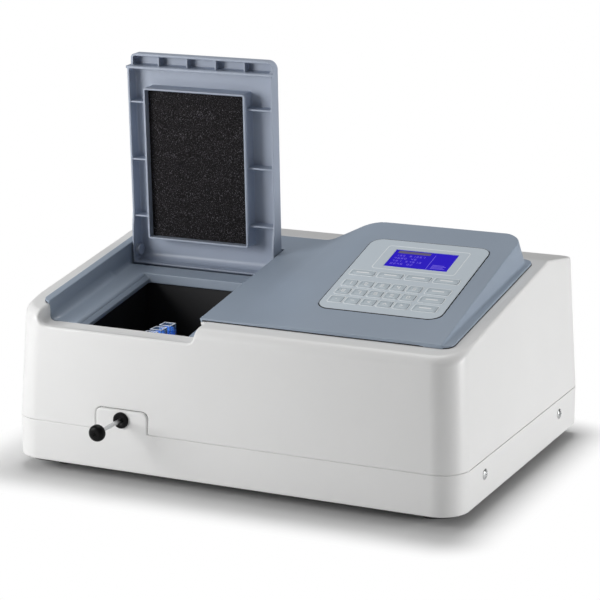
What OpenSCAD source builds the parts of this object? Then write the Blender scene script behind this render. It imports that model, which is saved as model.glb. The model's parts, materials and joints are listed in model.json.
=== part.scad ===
// Bench-top visible spectrophotometer with an open sample compartment.
// Front faces -Y, the table is z = 0, and the lid stands open.

/* [Casing] */
// Width of the casing
body_w = 460; // [450:1:500]
// Depth of the casing
body_d = 340; // [335:1:370]
// Height of the casing's lower edge above the table
base_z = 12; // [10:0.5:15]
// Height of the seam between lower and upper casing
seam_z = 51.5; // [49:0.5:54]
// Height of the top plane where it meets the front face
top_front_z = 155.5; // [154:0.5:162]
// Slope of the top plane, in degrees
top_slope = 8.8; // [8:0.1:9.5]
// Distance from the front face to the crest of the top
crest_back = 255; // [250:1:262]
// Slope of the top behind the crest, in degrees
rear_slope = 8.5; // [5:0.5:12]
// Draft of the upper casing's walls, in degrees
draft = 3; // [2:0.5:4]
// Wall of the casing
wall = 3; // [2.5:0.1:3.4]
// Plan radius of the front corners
front_r = 28; // [24:1:34]
// Plan radius of the rear corners
rear_r = 17; // [14:1:24]
// Rounding of the top edges
edge_r = 9; // [7:0.5:12]
// Thickness of the base plate
plate_t = 3; // [2:0.5:4]
// Radius of a rubber foot
foot_r = 12; // [9:0.5:16]

/* [Top cover] */
// White strip left of the cover
cover_left_gap = 21; // [19:0.5:23]
// White strip right of the cover
cover_right_gap = 15; // [13:0.5:18]
// White strip in front of the cover
cover_front_gap = 28; // [25:0.5:30]
// Distance from the front face to the cover's rear edge
cover_back = 247; // [246:0.5:249]
// Thickness of the cover's deck, which lies on the casing
deck_t = 2.5; // [2:0.1:3]
// Corner radius of the deck
deck_r = 10; // [7:1:14]
// Width of the deck's seat on the casing
deck_lap = 5; // [4:0.5:6]
// Wall of the cover below the deck
skin = 2.5; // [2:0.1:2.8]

/* [Lid] */
// Distance from the casing's left side to the lid's trough
trough_left_gap = 29.5; // [29:0.5:31]
// Width of the lid's trough
trough_w = 161.5; // [155:0.5:163]
// Distance from the front face to the hinge, along the top plane
hinge_back = 200.4; // [197:0.2:203]
// Lean of the open lid, in degrees from level
lid_lean = 87.5; // [70:0.5:95]
// Depth of the lid from its top to its rim
lid_h = 19.5; // [18:0.5:21]
// Depth of the lid's side walls
lid_side_h = 15; // [14.5:0.5:17]
// Length of the lid in front of the hinge
lid_front = 201.5; // [200:0.5:207]
// Distance from the hinge to the lid's front baffle
lid_baffle = 189.8; // [187:0.2:191]
// Length of the lid behind the hinge
lid_tail = 13.5; // [12:0.5:15]
// Wall of the lid
lid_wall = 2.5; // [2:0.1:3]
// Thickness of the lid's ribs
rib_t = 1.8; // [1.2:0.1:2.4]
// Width of the foam pad
foam_w = 108; // [96:1:112]
// Distance from the foam pad to the lid's front baffle
foam_gap = 23.1; // [14:0.1:30]
// Depth of the foam's face below the lid's rim
foam_sink = 6; // [3:0.5:9]
// Radius of a hinge pin
pin_r = 2; // [1.5:0.1:2.5]

/* [Sample chamber] */
// Distance from the casing's left side to the chamber's mouth
mouth_left_gap = 61; // [60:0.5:63]
// Width of the chamber's mouth
mouth_w = 116; // [110:1:118]
// Distance from the front face to the mouth's front edge
mouth_front = 14; // [13.5:0.1:15]
// Distance from the front face to the mouth's rear edge
mouth_back = 163; // [155:0.5:165]
// Depth of the skirt below the mouth
skirt_h = 9.5; // [7:0.5:12]
// Wall of the chamber
chamber_wall = 2; // [1.5:0.1:2.4]
// Height of the chamber's floor above the table
chamber_floor_z = 46; // [42:0.5:48]

/* [Cuvettes and carriage] */
// Outer width of a cuvette
cell_w = 12.5; // [12:0.1:13]
// Height of a cuvette
cell_h = 45; // [44:0.5:46]
// Wall of a cuvette
cell_wall = 1.25; // [1:0.05:1.5]
// Spacing of the cuvettes
cell_pitch = 18; // [17.5:0.1:18.5]
// Number of cuvettes
cell_count = 4; // [2:1:4]
// Height of the cuvettes' rims above the table
cell_rim_z = 134; // [132:0.5:136]
// Height that the cuvettes stand out of the carriage
cell_proud = 12; // [10:0.5:14]
// Depth of the liquid's surface below the rim
fill_drop = 5; // [4:0.5:20]
// Distance from the front face to the middle of the row of cuvettes
row_back = 67; // [66:0.5:70]
// Distance from the casing's left side to the row of cuvettes
row_left_gap = 121.5; // [119:0.5:124]
// Radius of a guide rail
rail_r = 3; // [2.5:0.1:3.5]

/* [Pull rod] */
// Radius of the pull rod
rod_r = 2; // [1.8:0.1:2.5]
// Height of the pull rod above the table
rod_z = 62.7; // [61.5:0.1:63]
// Radius of the knob
knob_r = 9.3; // [8:0.1:11]
// Length of the knob
knob_l = 16; // [12:0.5:18]
// Distance from the front face to the middle of the knob
knob_reach = 50; // [49:0.5:58]
// Radius of the bushing's flange
bush_r = 7.8; // [6:0.1:8.5]
// Width of the tab that carries the bushing
tab_w = 55; // [48:0.5:62]
// Height of the tab's top above the table
tab_top_z = 72.5; // [71.5:0.5:76]

/* [Console] */
// Height of the console's plane where it meets the front face
console_z = 156.3; // [156:0.1:157.5]
// Slope of the console, in degrees
console_slope = 14.9; // [14:0.1:15.5]
// Distance from the casing's right side to the console's right edge
console_right_gap = 29; // [27:0.5:32]
// Width of the console's top
console_w = 155; // [148:0.5:158]
// Distance from the front face to the console's front edge, along its slope
console_front = 31; // [30.5:0.5:36]
// Distance from the front face to the console's rear edge, along its slope
console_back = 252; // [248:0.5:254]
// Radius of the console's rear corners
console_r = 22; // [16:1:26]
// Run of the soft ramp on the console's left
ramp_run = 40; // [30:1:46]
// Run of the console's right wall
side_run = 6; // [4:0.5:8]

/* [Keypad] */
// Distance from the console's right edge to the keypad panel
panel_right_gap = 19.5; // [17:0.5:22]
// Width of the keypad panel
panel_w = 121.5; // [120:0.5:124]
// Distance from the front face to the keypad panel, along the console
panel_front = 70.5; // [66:0.5:76]
// Length of the keypad panel
panel_l = 144; // [142:0.5:150]
// Corner radius of the keypad panel
panel_r = 12; // [8:0.5:14]
// Thickness of the keypad panel
panel_t = 1.6; // [1.2:0.1:2]
// Width of a soft key
soft_key_w = 24; // [20:0.5:25]
// Width of a square key
square_key_w = 13.2; // [11:0.2:13.8]
// Width of a wide key
wide_key_w = 22.5; // [20:0.5:23.5]
// Depth of a soft key
soft_key_d = 9; // [7:0.5:10]
// Depth of a square or wide key
key_d = 11; // [9:0.5:12]
// Height of a key above the panel
key_proud = 0.7; // [0.5:0.1:1]
// Travel of a key
key_travel = 0.5; // [0.3:0.1:0.6]
// Width of the display
lcd_w = 64; // [60:0.5:70]
// Length of the display along the console
lcd_l = 35; // [30:0.5:37]

/* [Optics] */
// Width of the monochromator's housing
mono_w = 160; // [156:1:166]
// Depth of the monochromator's housing
mono_d = 138; // [136:1:142]
// Height of the monochromator's housing
mono_h = 68; // [64:1:74]
// Wall of the monochromator's housing
mono_wall = 4; // [3:0.2:4.4]
// Length of the sine arm that turns the grating
sine_arm = 48; // [46:0.5:49]
// Radius of the lead screw
screw_r = 3; // [2.5:0.1:3.2]
// Width of the stepper motor
motor_w = 28; // [26:0.5:29]
// Width of the lamp housing
lamp_w = 60; // [54:1:62]
// Radius of the light ports
port_r = 5; // [4:0.2:6]

/* [Rear] */
// Distance from the casing's rear face to the rear panel
panel_sink = 10; // [9:0.5:14]
// Height of the rear panel above the table
rear_panel_z = 104; // [102:0.5:108]
// Side of the fan's frame
fan_w = 60; // [56:1:62]
// Thickness of the fan's frame
fan_t = 15; // [14:0.5:20]
// Number of fan blades
blade_count = 7; // [5:1:9]

/* [Hidden] */
$fn = 48;
hull_fn = 32;
eps = 0.01;
far = 400;

// Clearances
run_gap = 0.05;
slide_gap = 0.3;
fit_gap = 0.4;
touch_gap = 0.2;

// Corners of the casing
flange_w = 14;
left_x = -body_w / 2;
right_x = body_w / 2;
front_y = -body_d / 2;
rear_y = body_d / 2;
crest_y = front_y + crest_back;
crest_z = top_front_z + crest_back * tan(top_slope);

// The part's origin lies under the middle of its outline, knob included
origin_y = (knob_reach + knob_l / 2) / 2;

// Lid and trough, in the top plane's own frame
hinge_drop = lid_h / 2 - deck_t;
seat_gap = 0.5;
trough_depth = lid_h - deck_t + seat_gap;
trough_x0 = left_x + trough_left_gap;
trough_x1 = trough_x0 + trough_w;
trough_front = 9.5;
trough_r = 1;
trough_back = hinge_back + lid_tail + 1;
tail_r = 8;
tail_rim_r = 4;
tail_reach = norm([lid_tail - tail_rim_r, lid_h / 2 - tail_rim_r]) + tail_rim_r;
well_depth = hinge_drop + tail_reach + seat_gap;
well_front = hinge_back - tail_reach - seat_gap;
lid_side_gap = 0.8;
lid_x0 = trough_x0 + lid_side_gap;
lid_x1 = trough_x1 - lid_side_gap;
lid_corner_r = 9;
lid_lip_depth = 13;
flare_start = 44;
flare_end = 10;
lid_bays = 5;
frame_t = 2.2;
foam_x0 = lid_x0 + 21.7;
foam_front = 16.7;
foam_l = lid_baffle - foam_front - foam_gap;
rib_places = [0.13, 0.52, 0.91];
boss_r = 6;
hinge_yz = top_point(hinge_back, -hinge_drop);

// Cover
cover_x0 = left_x + cover_left_gap;
cover_x1 = right_x - cover_right_gap;
cover_y0 = cover_front_gap / cos(top_slope);
cover_y1 = cover_back / cos(top_slope);
lip_h = 7;

// Notch in the casing's front for the lid
notch_x0 = trough_x0 + 3.5;
notch_x1 = trough_x1 + 3;
notch_slant = 20;
notch_z = top_front_z - 11.9;
notch_left_r = 14;
notch_right_r = 6;

// Front lip of the lid, which passes the notch
lip_x0 = notch_x0 + lid_side_gap;
lip_r = notch_left_r - lid_side_gap;

// Chamber's mouth and walls
mouth_x0 = left_x + mouth_left_gap;
mouth_x1 = mouth_x0 + mouth_w;
mouth_y0 = mouth_front / cos(top_slope);
mouth_y1 = mouth_back / cos(top_slope);
skirt_t = 2;
chamber_x0 = mouth_x0 - skirt_t - fit_gap;
chamber_x1 = mouth_x1 + skirt_t + fit_gap;
chamber_y0 = front_y + mouth_front - skirt_t - fit_gap;
chamber_y1 = front_y + mouth_back + skirt_t + fit_gap + (trough_depth + skirt_h) * sin(top_slope);
leg_r = 5;
leg_inset = flange_w;

// Cuvettes, carriage and beam
row_x = left_x + row_left_gap;
row_y = front_y + row_back;
row_half = (cell_count - 1) / 2 * cell_pitch;
cell_floor_z = cell_rim_z - cell_h;
beam_z = cell_floor_z + 15;
beam_y = row_y + cell_pitch / 2;
cell_gap = 0.2;
carriage_top_z = cell_rim_z - cell_proud;
carriage_half_x = 14;
carriage_half_y = row_half + cell_w / 2 + 2.4;
carriage_base_z = cell_floor_z - 4;
rail_x = 24;
rail_z = carriage_base_z - 12;
bearing_r = 8;
lug_half = 6;
lug_l = 16;
rod_seat = 12;

// Pull rod
bush_barrel_r = bush_r - 3;
bush_flange_t = 2.5;
bush_edge = 0.8;
tab_r = 6;
knob_y = front_y - knob_reach;
knob_collar_r = 6;
knob_collar_l = 3;

// Console and keypad, in the console's own frame
console_x1 = right_x - console_right_gap;
console_x0 = console_x1 - console_w;
console_front_r = 6;
panel_x1 = console_x1 - panel_right_gap;
panel_x0 = panel_x1 - panel_w;
panel_back = panel_front + panel_l;
panel_ledge = 4;
panel_top = 0.3;
panel_under = panel_top - panel_t;
key_gap = 0.25;
key_flange = 0.9;
key_stem_end = -4.2;
switch_top = key_stem_end - key_travel - slide_gap;
board_top = switch_top - 3;
board_t = 1.6;
lcd_x0 = panel_x0 + (panel_w - lcd_w) / 2 + 2;
lcd_front = panel_back - lcd_l - 18;
lcd_rim = 5;
lcd_t = 8;
soft_row = panel_front + 72.5;
square_row = panel_front + 51;
row_step = 16.5;
square_step = 16.3;
soft_step = 28.2;
first_square = panel_x0 + 13.5;
first_soft = panel_x0 + 17.5;
wide_x = panel_x1 - 19.5;

// Each key: middle across, middle along the console, width, depth
KEYS = concat(
    [for (i = [0:3]) [first_soft + i * soft_step, soft_row, soft_key_w, soft_key_d]],
    [for (r = [0:2], c = [0:4])
        [first_square + c * square_step, square_row - r * row_step, square_key_w, key_d]],
    [for (r = [0:2]) [wide_x, square_row - r * row_step, wide_key_w, key_d]]);
KEY_NAMES = concat(
    [for (i = [1:4]) str("soft_key_", i)],
    [for (i = [1:15]) str("square_key_", i)],
    [for (i = [1:3]) str("wide_key_", i)]);

// Monochromator
mono_x0 = chamber_x1 + chamber_wall + touch_gap;
mono_x1 = mono_x0 + mono_w;
mono_y0 = beam_y - 44;
mono_y1 = mono_y0 + mono_d;
mono_z0 = beam_z - 44;
mono_z1 = mono_z0 + mono_h;
mono_floor = 5;
mono_floor_z = mono_z0 + mono_floor;
mono_leg_r = 7;
grating_x = mono_x0 + 63;
grating_y = beam_y + 31;
turn_z = mono_floor_z + 5;
turn_t = 4;
turn_r = 17;
turn_shaft_r = 4;
arm_pin_r = 4;
arm_half = 2.5;
screw_y = grating_y + sine_arm;
screw_z = turn_z + turn_t + screw_r + 3;
nut_x0 = grating_x + arm_pin_r + slide_gap;
nut_l = 14;
nut_half = 8;
screw_x0 = grating_x - 20;
post_t = 6;
fold_x = mono_x0 + 26;
fold_y = beam_y + 62;
mirror_r = 18;
mirror_t = 8;
motor_l = 32;

// Lamp
lamp_gap = 6;
lamp_x0 = fold_x - lamp_w / 2;
lamp_y0 = mono_y1 + lamp_gap;
lamp_d = 56;
lamp_wall = 2;
lamp_z0 = beam_z - 30;
lamp_z1 = beam_z + 30;
lamp_y = lamp_y0 + lamp_d / 2;

// Rear panel and what it carries
rear_t = 1.5;
rear_panel_y = rear_y - panel_sink - rear_t;
window_half = body_w / 2 - 50;
window_z0 = base_z + 8;
window_z1 = rear_panel_z - 6;
fan_x = right_x - 170;
fan_z = 66;
fan_hole = fan_w / 2 - 2;
hub_r = 13;
hub_t = 3;
spindle_r = 1.5;
strut_t = 2;
strut_w = 4;
guard_step = 5.6;
guard_bar = 1.8;
blade_w = 11;
blade_t = 1.2;
inlet_x = right_x - 92;
inlet_z = 40;
inlet_x0 = -16.5;
inlet_x1 = 40.5;
inlet_half = 10.5;
inlet_rim = 3.5;
inlet_l = 24;
socket_w = 24;
socket_h = 16;
socket_l = 16;
blade_gap = 7;
blade_l = 10;
rocker_x = inlet_x + 31;
rocker_room = 0.7;
trunnion_r = 1.5;
trunnion_y = 6;
rocker_w = 12.6;
rocker_h = 18;
rocker_tilt = 8;
port_xs = [left_x + 80, left_x + 120];
port_w = 13;

// Boards and supply
main_x0 = left_x + 25;
main_x1 = left_x + 165;
main_y1 = rear_panel_y - 10;
main_y0 = main_y1 - 120;
main_z = base_z + 8;
stud_r = 3;
stud_inset = 6;
chip_w = 30;
sink_h = 26;
fin_step = 13;
can_r = 6;
can_h = 16;
supply_x1 = right_x - 16;
supply_x0 = supply_x1 - 86;
supply_y0 = mono_y1 + 6;
supply_y1 = rear_panel_y - 28;
supply_h = 40;
slot_step = 13;
terminal_d = 16;

// Fasteners and feet
screw_spread = 105;
screw_up = 37;
screw_head_r = 5.2;
screw_shank_r = 2;
foot_x = body_w / 2 - 40;
foot_y = body_d / 2 - 40;
plate_inset = 8;
vent_step = 26;
vent_w = 8;
vent_l = 40;
vent_y = 80;

// Colours
white_plastic = [0.90, 0.90, 0.89];
grey_plastic = [0.47, 0.51, 0.57];
light_grey_plastic = [0.70, 0.74, 0.78];
pale_key = [0.76, 0.80, 0.83];
black_paint = [0.08, 0.08, 0.09];
dark_foam = [0.11, 0.10, 0.10];
bright_steel = [0.78, 0.79, 0.80];
cast_metal = [0.60, 0.62, 0.64];
board_green = [0.10, 0.32, 0.18];
clear_cell = [0.85, 0.90, 0.95, 0.5];
blue_liquid = [0.10, 0.30, 0.75, 0.8];
screen_blue = [0.16, 0.06, 0.78];
mirror_silver = [0.90, 0.92, 0.93];

FIXED_NODES = [
    "base_plate", "rubber_feet", "lower_casing", "upper_casing", "casing_screws", "rear_panel",
    "top_cover", "keypad_panel", "lcd_display", "keypad_board", "sample_chamber", "guide_rails",
    "rod_bushing", "detector_unit", "monochromator_housing", "monochromator_cover", "mirrors",
    "stepper_motor", "lamp_housing", "halogen_lamp", "main_board", "power_supply", "power_inlet",
    "fan_frame"];
MOVING_NODES = [
    "lid", "lid_foam", "hinge_pins", "cuvette_carriage", "cuvettes", "sample_liquid", "pull_rod",
    "rod_knob", "power_switch", "fan_rotor", "grating_turntable", "grating", "drive_nut", "lead_screw"];

// Height of the casing's top plane at depth y
function top_z(y) = top_front_z + (y - front_y) * tan(top_slope);

// Place, as [y, z], of a point along the top plane and above it
function top_point(along, up) = [
    front_y + along * cos(top_slope) - up * sin(top_slope),
    top_front_z + along * sin(top_slope) + up * cos(top_slope)];

// How far the drafted wall leans in at height z
function lean(z) = (z - seam_z) * tan(draft);

// Frames and plain shapes

module framed(paint) color(paint) translate([0, origin_y, 0]) children();

module on_top() translate([0, front_y, top_front_z]) rotate([top_slope, 0, 0]) children();

module on_console() translate([0, front_y, console_z]) rotate([console_slope, 0, 0]) children();

module in_lid() translate([0, hinge_yz[0], hinge_yz[1]]) rotate([-lid_lean, 0, 0]) children();

module at_beam(x, y) translate([x, y, beam_z]) children();

// Box between two opposite corners
module block(low, high) translate(low) cube(high - low);

// Flat rectangle with round corners
module rounded(x0, x1, y0, y1, r) {
    translate([x0 + r, y0]) square([x1 - x0 - 2 * r, y1 - y0]);
    translate([x0, y0 + r]) square([x1 - x0, y1 - y0 - 2 * r]);
    for (x = [x0 + r, x1 - r], y = [y0 + r, y1 - r]) translate([x, y]) circle(r);
}

// Outline in x and z, extruded from y0 to y1
module along_y(y0, y1) translate([0, y1, 0]) rotate([90, 0, 0]) linear_extrude(y1 - y0) children();

// Outline in y and z, extruded from x0 to x1
module along_x(x0, x1) translate([x0, 0, 0]) rotate([90, 0, 90]) linear_extrude(x1 - x0) children();

// Outline extruded from z0 to z1
module rise(z0, z1) translate([0, 0, z0]) linear_extrude(z1 - z0) children();

module rod_along_x(r, x0, x1) translate([x0, 0, 0]) rotate([0, 90, 0]) cylinder(r = r, h = x1 - x0);

module rod_along_y(r, y0, y1) translate([0, y1, 0]) rotate([90, 0, 0]) cylinder(r = r, h = y1 - y0);

module rod_along_z(r, z0, z1) translate([0, 0, z0]) cylinder(r = r, h = z1 - z0);

// Casing

// Outline of the casing, drawn in by the given inset
module casing_outline(inset) {
    w = body_w / 2 - inset;
    d = body_d / 2 - inset;
    rf = front_r - inset;
    rr = rear_r - inset;
    translate([-w, -d + rf]) square([2 * w, 2 * d - rf - rr]);
    translate([-w + rf, -d]) square([2 * (w - rf), d]);
    translate([-w + rr, 0]) square([2 * (w - rr), d]);
    for (side = [-1, 1]) {
        translate([side * (w - rf), -d + rf]) circle(rf);
        translate([side * (w - rr), d - rr]) circle(rr);
    }
}

// Rounded disc for a top corner
module corner_ring(plan_r, inset) rotate_extrude($fn = hull_fn) intersection() {
    translate([plan_r - edge_r, 0]) circle(edge_r - inset, $fn = hull_fn);
    translate([0, -edge_r]) square([plan_r, 2 * edge_r]);
}

// Solid block of the upper casing, drawn in by the given inset
module casing_block(inset) {
    front_in = lean(top_front_z - edge_r) + front_r;
    crest_in = lean(crest_z - edge_r) + edge_r;
    rear_z = crest_z - (rear_y - crest_y) * tan(rear_slope);
    rear_in = lean(rear_z - edge_r) + rear_r;
    foot_h = inset > 0 ? 2 : 1;
    hull() for (side = [-1, 1]) {
        translate([side * (body_w / 2 - front_r), front_y + front_r, seam_z + 1 - foot_h])
            cylinder(r = front_r - inset, h = foot_h, $fn = 2 * hull_fn);
        translate([side * (body_w / 2 - rear_r), rear_y - rear_r, seam_z + 1 - foot_h])
            cylinder(r = rear_r - inset, h = foot_h, $fn = hull_fn);
        translate([side * (body_w / 2 - front_in), front_y + front_in, top_z(front_y + front_in)])
            rotate([top_slope, 0, 0]) translate([0, 0, -edge_r]) corner_ring(front_r, inset);
        translate([side * (body_w / 2 - crest_in), crest_y, crest_z - edge_r / cos(top_slope)])
            sphere(edge_r - inset, $fn = hull_fn);
        translate([side * (body_w / 2 - rear_in), rear_y - rear_in, rear_z + rear_in * tan(rear_slope)])
            rotate([-rear_slope, 0, 0]) translate([0, 0, -edge_r]) corner_ring(rear_r, inset);
    }
}

// Outline of the raised tab in the front, grown by the given gap
module tab_outline(grow) rounded(
    row_x - tab_w / 2 - grow, row_x + tab_w / 2 + grow, seam_z - 3 * tab_r, tab_top_z + grow, tab_r + grow);

// Outline of the notch that the lid's front passes: square left side, slanted right side
module notch_outline() {
    corner = notch_right_r / tan(45 + notch_slant / 2);
    polygon([
        [notch_x0 + notch_left_r, notch_z], [notch_x1 - corner, notch_z],
        [notch_x1 + corner * sin(notch_slant), notch_z + corner * cos(notch_slant)],
        [notch_x1 + far * tan(notch_slant), notch_z + far], [notch_x0, notch_z + far],
        [notch_x0, notch_z + notch_left_r]]);
    translate([notch_x0 + notch_left_r, notch_z + notch_left_r]) circle(notch_left_r);
    translate([notch_x1 - corner, notch_z + notch_right_r]) circle(notch_right_r);
}

module upper_casing() framed(white_plastic) difference() {
    casing_block(0);
    casing_block(wall);
    on_top() rise(-2 * lip_h, far) rounded(
        cover_x0 + deck_lap, cover_x1 - deck_lap, cover_y0 + deck_lap, cover_y1 - deck_lap,
        deck_r - deck_lap + 1);
    along_y(front_y - 1, front_y + cover_front_gap + 2 * deck_lap) notch_outline();
    on_top() block([trough_x0, trough_front, -trough_depth], [trough_x1, cover_y0 + 2 * deck_lap, far]);
    along_y(front_y - 1, front_y + 2 * wall) tab_outline(fit_gap);
    along_y(rear_y - 4 * wall, rear_y + 1)
        rounded(-window_half, window_half, seam_z - 3 * tab_r, window_z1, tab_r);
}

module lower_casing() framed(white_plastic) difference() {
    union() {
        difference() {
            rise(base_z, seam_z) casing_outline(0);
            rise(base_z + wall, seam_z + 1) casing_outline(wall);
            rise(base_z - 1, seam_z) casing_outline(flange_w);
        }
        along_y(front_y, front_y + wall) difference() {
            tab_outline(0);
            translate([row_x - tab_w, 0]) square([2 * tab_w, seam_z - tab_r]);
        }
        for (side = [-1, 1], y = [-screw_spread, screw_spread])
            translate([side * (body_w / 2 - wall - 3), y, screw_up])
                rod_along_x(2 * screw_shank_r, -3.5, 3.5);
    }
    translate([row_x, 0, rod_z]) rod_along_y(bush_barrel_r, front_y - 1, front_y + 2 * wall);
    along_y(rear_y - 2 * wall, rear_y + 1)
        rounded(-window_half, window_half, window_z0, seam_z + 3 * tab_r, tab_r);
    for (side = [-1, 1], y = [-screw_spread, screw_spread])
        translate([side * (body_w / 2 - wall), y, screw_up])
            rod_along_x(screw_shank_r, -2 * wall - 1, 2 * wall);
}

module base_plate() framed(black_paint) {
    difference() {
        rise(base_z - plate_t, base_z) casing_outline(plate_inset);
        for (i = [-3:3]) translate([i * vent_step, vent_y, 0])
            block([-vent_w / 2, -vent_l / 2, 0], [vent_w / 2, vent_l / 2, far]);
    }
    for (x = [main_x0 + stud_inset, main_x1 - stud_inset], y = [main_y0 + stud_inset, main_y1 - stud_inset])
        translate([x, y, 0]) rod_along_z(stud_r, base_z - eps, main_z);
}

module rubber_feet() framed(black_paint) for (x = [-foot_x, foot_x], y = [-foot_y, foot_y])
    translate([x, y, 0]) rotate_extrude() polygon([
        [0, 0], [foot_r - 1.5, 0], [foot_r, 1.5], [foot_r - 1, base_z - plate_t], [0, base_z - plate_t]]);

module casing_screws() framed(bright_steel) for (side = [-1, 1], y = [-screw_spread, screw_spread])
    translate([side * body_w / 2, y, screw_up]) rotate([0, side * 90, 0]) difference() {
        rotate_extrude() polygon([
            [0, -wall - 4], [screw_shank_r - run_gap, -wall - 4], [screw_shank_r - run_gap, 0],
            [screw_head_r, 0], [screw_head_r, 0.7], [screw_head_r - 1.4, 1.7], [0, 2.1]]);
        for (turn = [0, 90]) rotate(turn) translate([-3, -0.6, 0.9]) cube([6, 1.2, 3]);
    }

// Top cover

// Solid block of the console, drawn in by the given inset
module console_block(inset) {
    base_up = inset > 0 ? -2 * skin : 0;
    base_y1 = cover_y1 - console_r - 1;
    base_y0 = cover_y0 + console_front_r + 1.5;
    hull() {
        on_console() {
            for (x = [console_x0 + console_r, console_x1 - console_r])
                translate([x, console_back - console_r, -1 - inset])
                    cylinder(r = console_r - inset, h = 1, $fn = hull_fn);
            for (x = [console_x0 + console_front_r, console_x1 - console_front_r])
                translate([x, console_front + console_front_r, -1 - inset])
                    cylinder(r = console_front_r - inset, h = 1, $fn = hull_fn);
        }
        on_top() {
            for (x = [console_x0 - ramp_run + console_r, console_x1 + side_run - console_r])
                translate([x, base_y1, base_up]) cylinder(r = console_r - inset, h = 1, $fn = hull_fn);
            for (x = [console_x0 + console_front_r, console_x1 + side_run - console_front_r])
                translate([x, base_y0, base_up])
                    cylinder(r = console_front_r - inset, h = 1, $fn = hull_fn);
        }
    }
}

// Cross-section of the trough, with its rounded left corner
module trough_outline() {
    translate([trough_x0, trough_r - trough_depth]) square([trough_w, far]);
    translate([trough_x0 + trough_r, -trough_depth]) square([trough_w - trough_r, far]);
    translate([trough_x0 + trough_r, trough_r - trough_depth]) circle(trough_r);
}

module cover_body() {
    on_top() {
        rise(0, deck_t) rounded(cover_x0, cover_x1, cover_y0, cover_y1, deck_r);
        rise(-lip_h, eps) difference() {
            lip = deck_lap + fit_gap;
            rounded(cover_x0 + lip, cover_x1 - lip, cover_y0 + lip, cover_y1 - lip, deck_r - deck_lap);
            in = lip + skin;
            rounded(cover_x0 + in, cover_x1 - in, cover_y0 + in, cover_y1 - in, 1);
        }
        difference() {
            block([trough_x0 - skin, trough_front, -trough_depth - skin],
                  [trough_x1 + skin, trough_back + skin, eps]);
            block([trough_x0 - 2 * skin, 0, -wall - fit_gap],
                  [trough_x1 + 2 * skin, cover_y0 + deck_lap + fit_gap, 1]);
            block([trough_x0 - 2 * skin, 0, -edge_r], [trough_x1 + 2 * skin, trough_front + edge_r / 2, 1]);
        }
        block([trough_x0 - skin, well_front - skin, -well_depth - skin],
              [trough_x1 + skin, trough_back + skin, -trough_depth]);
        block([mouth_x0 - skirt_t, mouth_y0, -trough_depth - skirt_h],
              [mouth_x1 + skirt_t, mouth_y1 + skirt_t, -trough_depth - eps]);
    }
    console_block(0);
}

// Outline of the keypad panel, grown by the given gap
module panel_outline(grow) rounded(
    panel_x0 - grow, panel_x1 + grow, panel_front - grow, panel_back + grow, panel_r + grow);

module top_cover() framed(grey_plastic) difference() {
    cover_body();
    on_top() {
        along_y(0, trough_back) trough_outline();
        block([trough_x0, well_front, -well_depth], [trough_x1, trough_back, 0]);
        block([mouth_x0, mouth_y0, -far], [mouth_x1, mouth_y1, 0]);
        translate([0, hinge_back, -hinge_drop]) {
            rod_along_x(pin_r + run_gap, trough_x0 - 2 * skin, trough_x0 + 1);
            rod_along_x(pin_r + run_gap, trough_x1 - 1, trough_x1 + 2 * skin);
        }
    }
    console_block(skin);
    on_console() {
        rise(panel_under, far) panel_outline(fit_gap);
        rise(-4 * skin, 0) panel_outline(-panel_ledge);
    }
}

// Lid, drawn closed about its hinge with its front at -y

module lid_profile() {
    half = lid_h / 2;
    translate([-lid_baffle, -half]) square([lid_baffle + lid_tail - tail_r, lid_h]);
    translate([lid_tail - tail_r - 1, -half]) square([tail_r - tail_rim_r + 1, lid_h - tail_r]);
    translate([lid_tail - tail_r - 1, tail_rim_r - half]) square([tail_r + 1, lid_h - tail_r - tail_rim_r]);
    translate([lid_tail - tail_r, half - tail_r]) circle(tail_r);
    translate([lid_tail - tail_rim_r, tail_rim_r - half]) circle(tail_rim_r);
}

// Cross-section of the lid's front lip, drawn in by the given inset
module lip_outline(inset) {
    half = lid_h / 2;
    low = half - lid_lip_depth;
    translate([lip_x0 + lip_r, low - far])
        square([lid_x1 - lip_x0 - lip_r - inset, far + lid_lip_depth - inset]);
    intersection() {
        translate([lip_x0 + lip_r, low + lip_r]) circle(lip_r - inset);
        translate([lip_x0, low]) square([lip_r + 1, lid_lip_depth - inset]);
    }
}

// Frame round the foam, as an outline grown by the given margin
module foam_outline(grow) translate([foam_x0 - grow, -foam_front - foam_l - grow])
    square([foam_w + 2 * grow, foam_l + 2 * grow]);

module lid_shell() {
    half = lid_h / 2;
    difference() {
        union() {
            along_x(lid_x0, lid_x1) lid_profile();
            intersection() {
                along_y(-lid_front, -lid_baffle + 1) lip_outline(0);
                rise(half - lid_lip_depth, half)
                    rounded(lip_x0, lid_x1, -lid_front, lid_corner_r - lid_baffle, lid_corner_r);
            }
        }
        rise(-lid_h, half - lid_wall) rounded(
            lid_x0 + lid_wall, lid_x1 - lid_wall, -lid_baffle + lid_wall, lid_tail - tail_r + 3, 2);
        intersection() {
            along_y(-lid_front + lid_wall, -lid_baffle) lip_outline(lid_wall);
            rise(-lid_h, half) rounded(
                lip_x0 + lid_wall, lid_x1 - lid_wall, -lid_front + lid_wall, lid_corner_r - lid_baffle,
                lid_corner_r - lid_wall);
        }
        for (x = [lid_x0 - 1, lid_x1 - lid_wall]) along_x(x, x + lid_wall + 1) side_relief();
    }
}

// What the side walls lack between the baffle and the hinge
module side_relief() {
    half = lid_h / 2;
    polygon([
        [lid_wall - lid_baffle, -lid_h], [lid_wall - lid_baffle, half - lid_side_h],
        [-flare_start, half - lid_side_h], [-flare_end, -half], [-flare_end, -lid_h]]);
}

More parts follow.
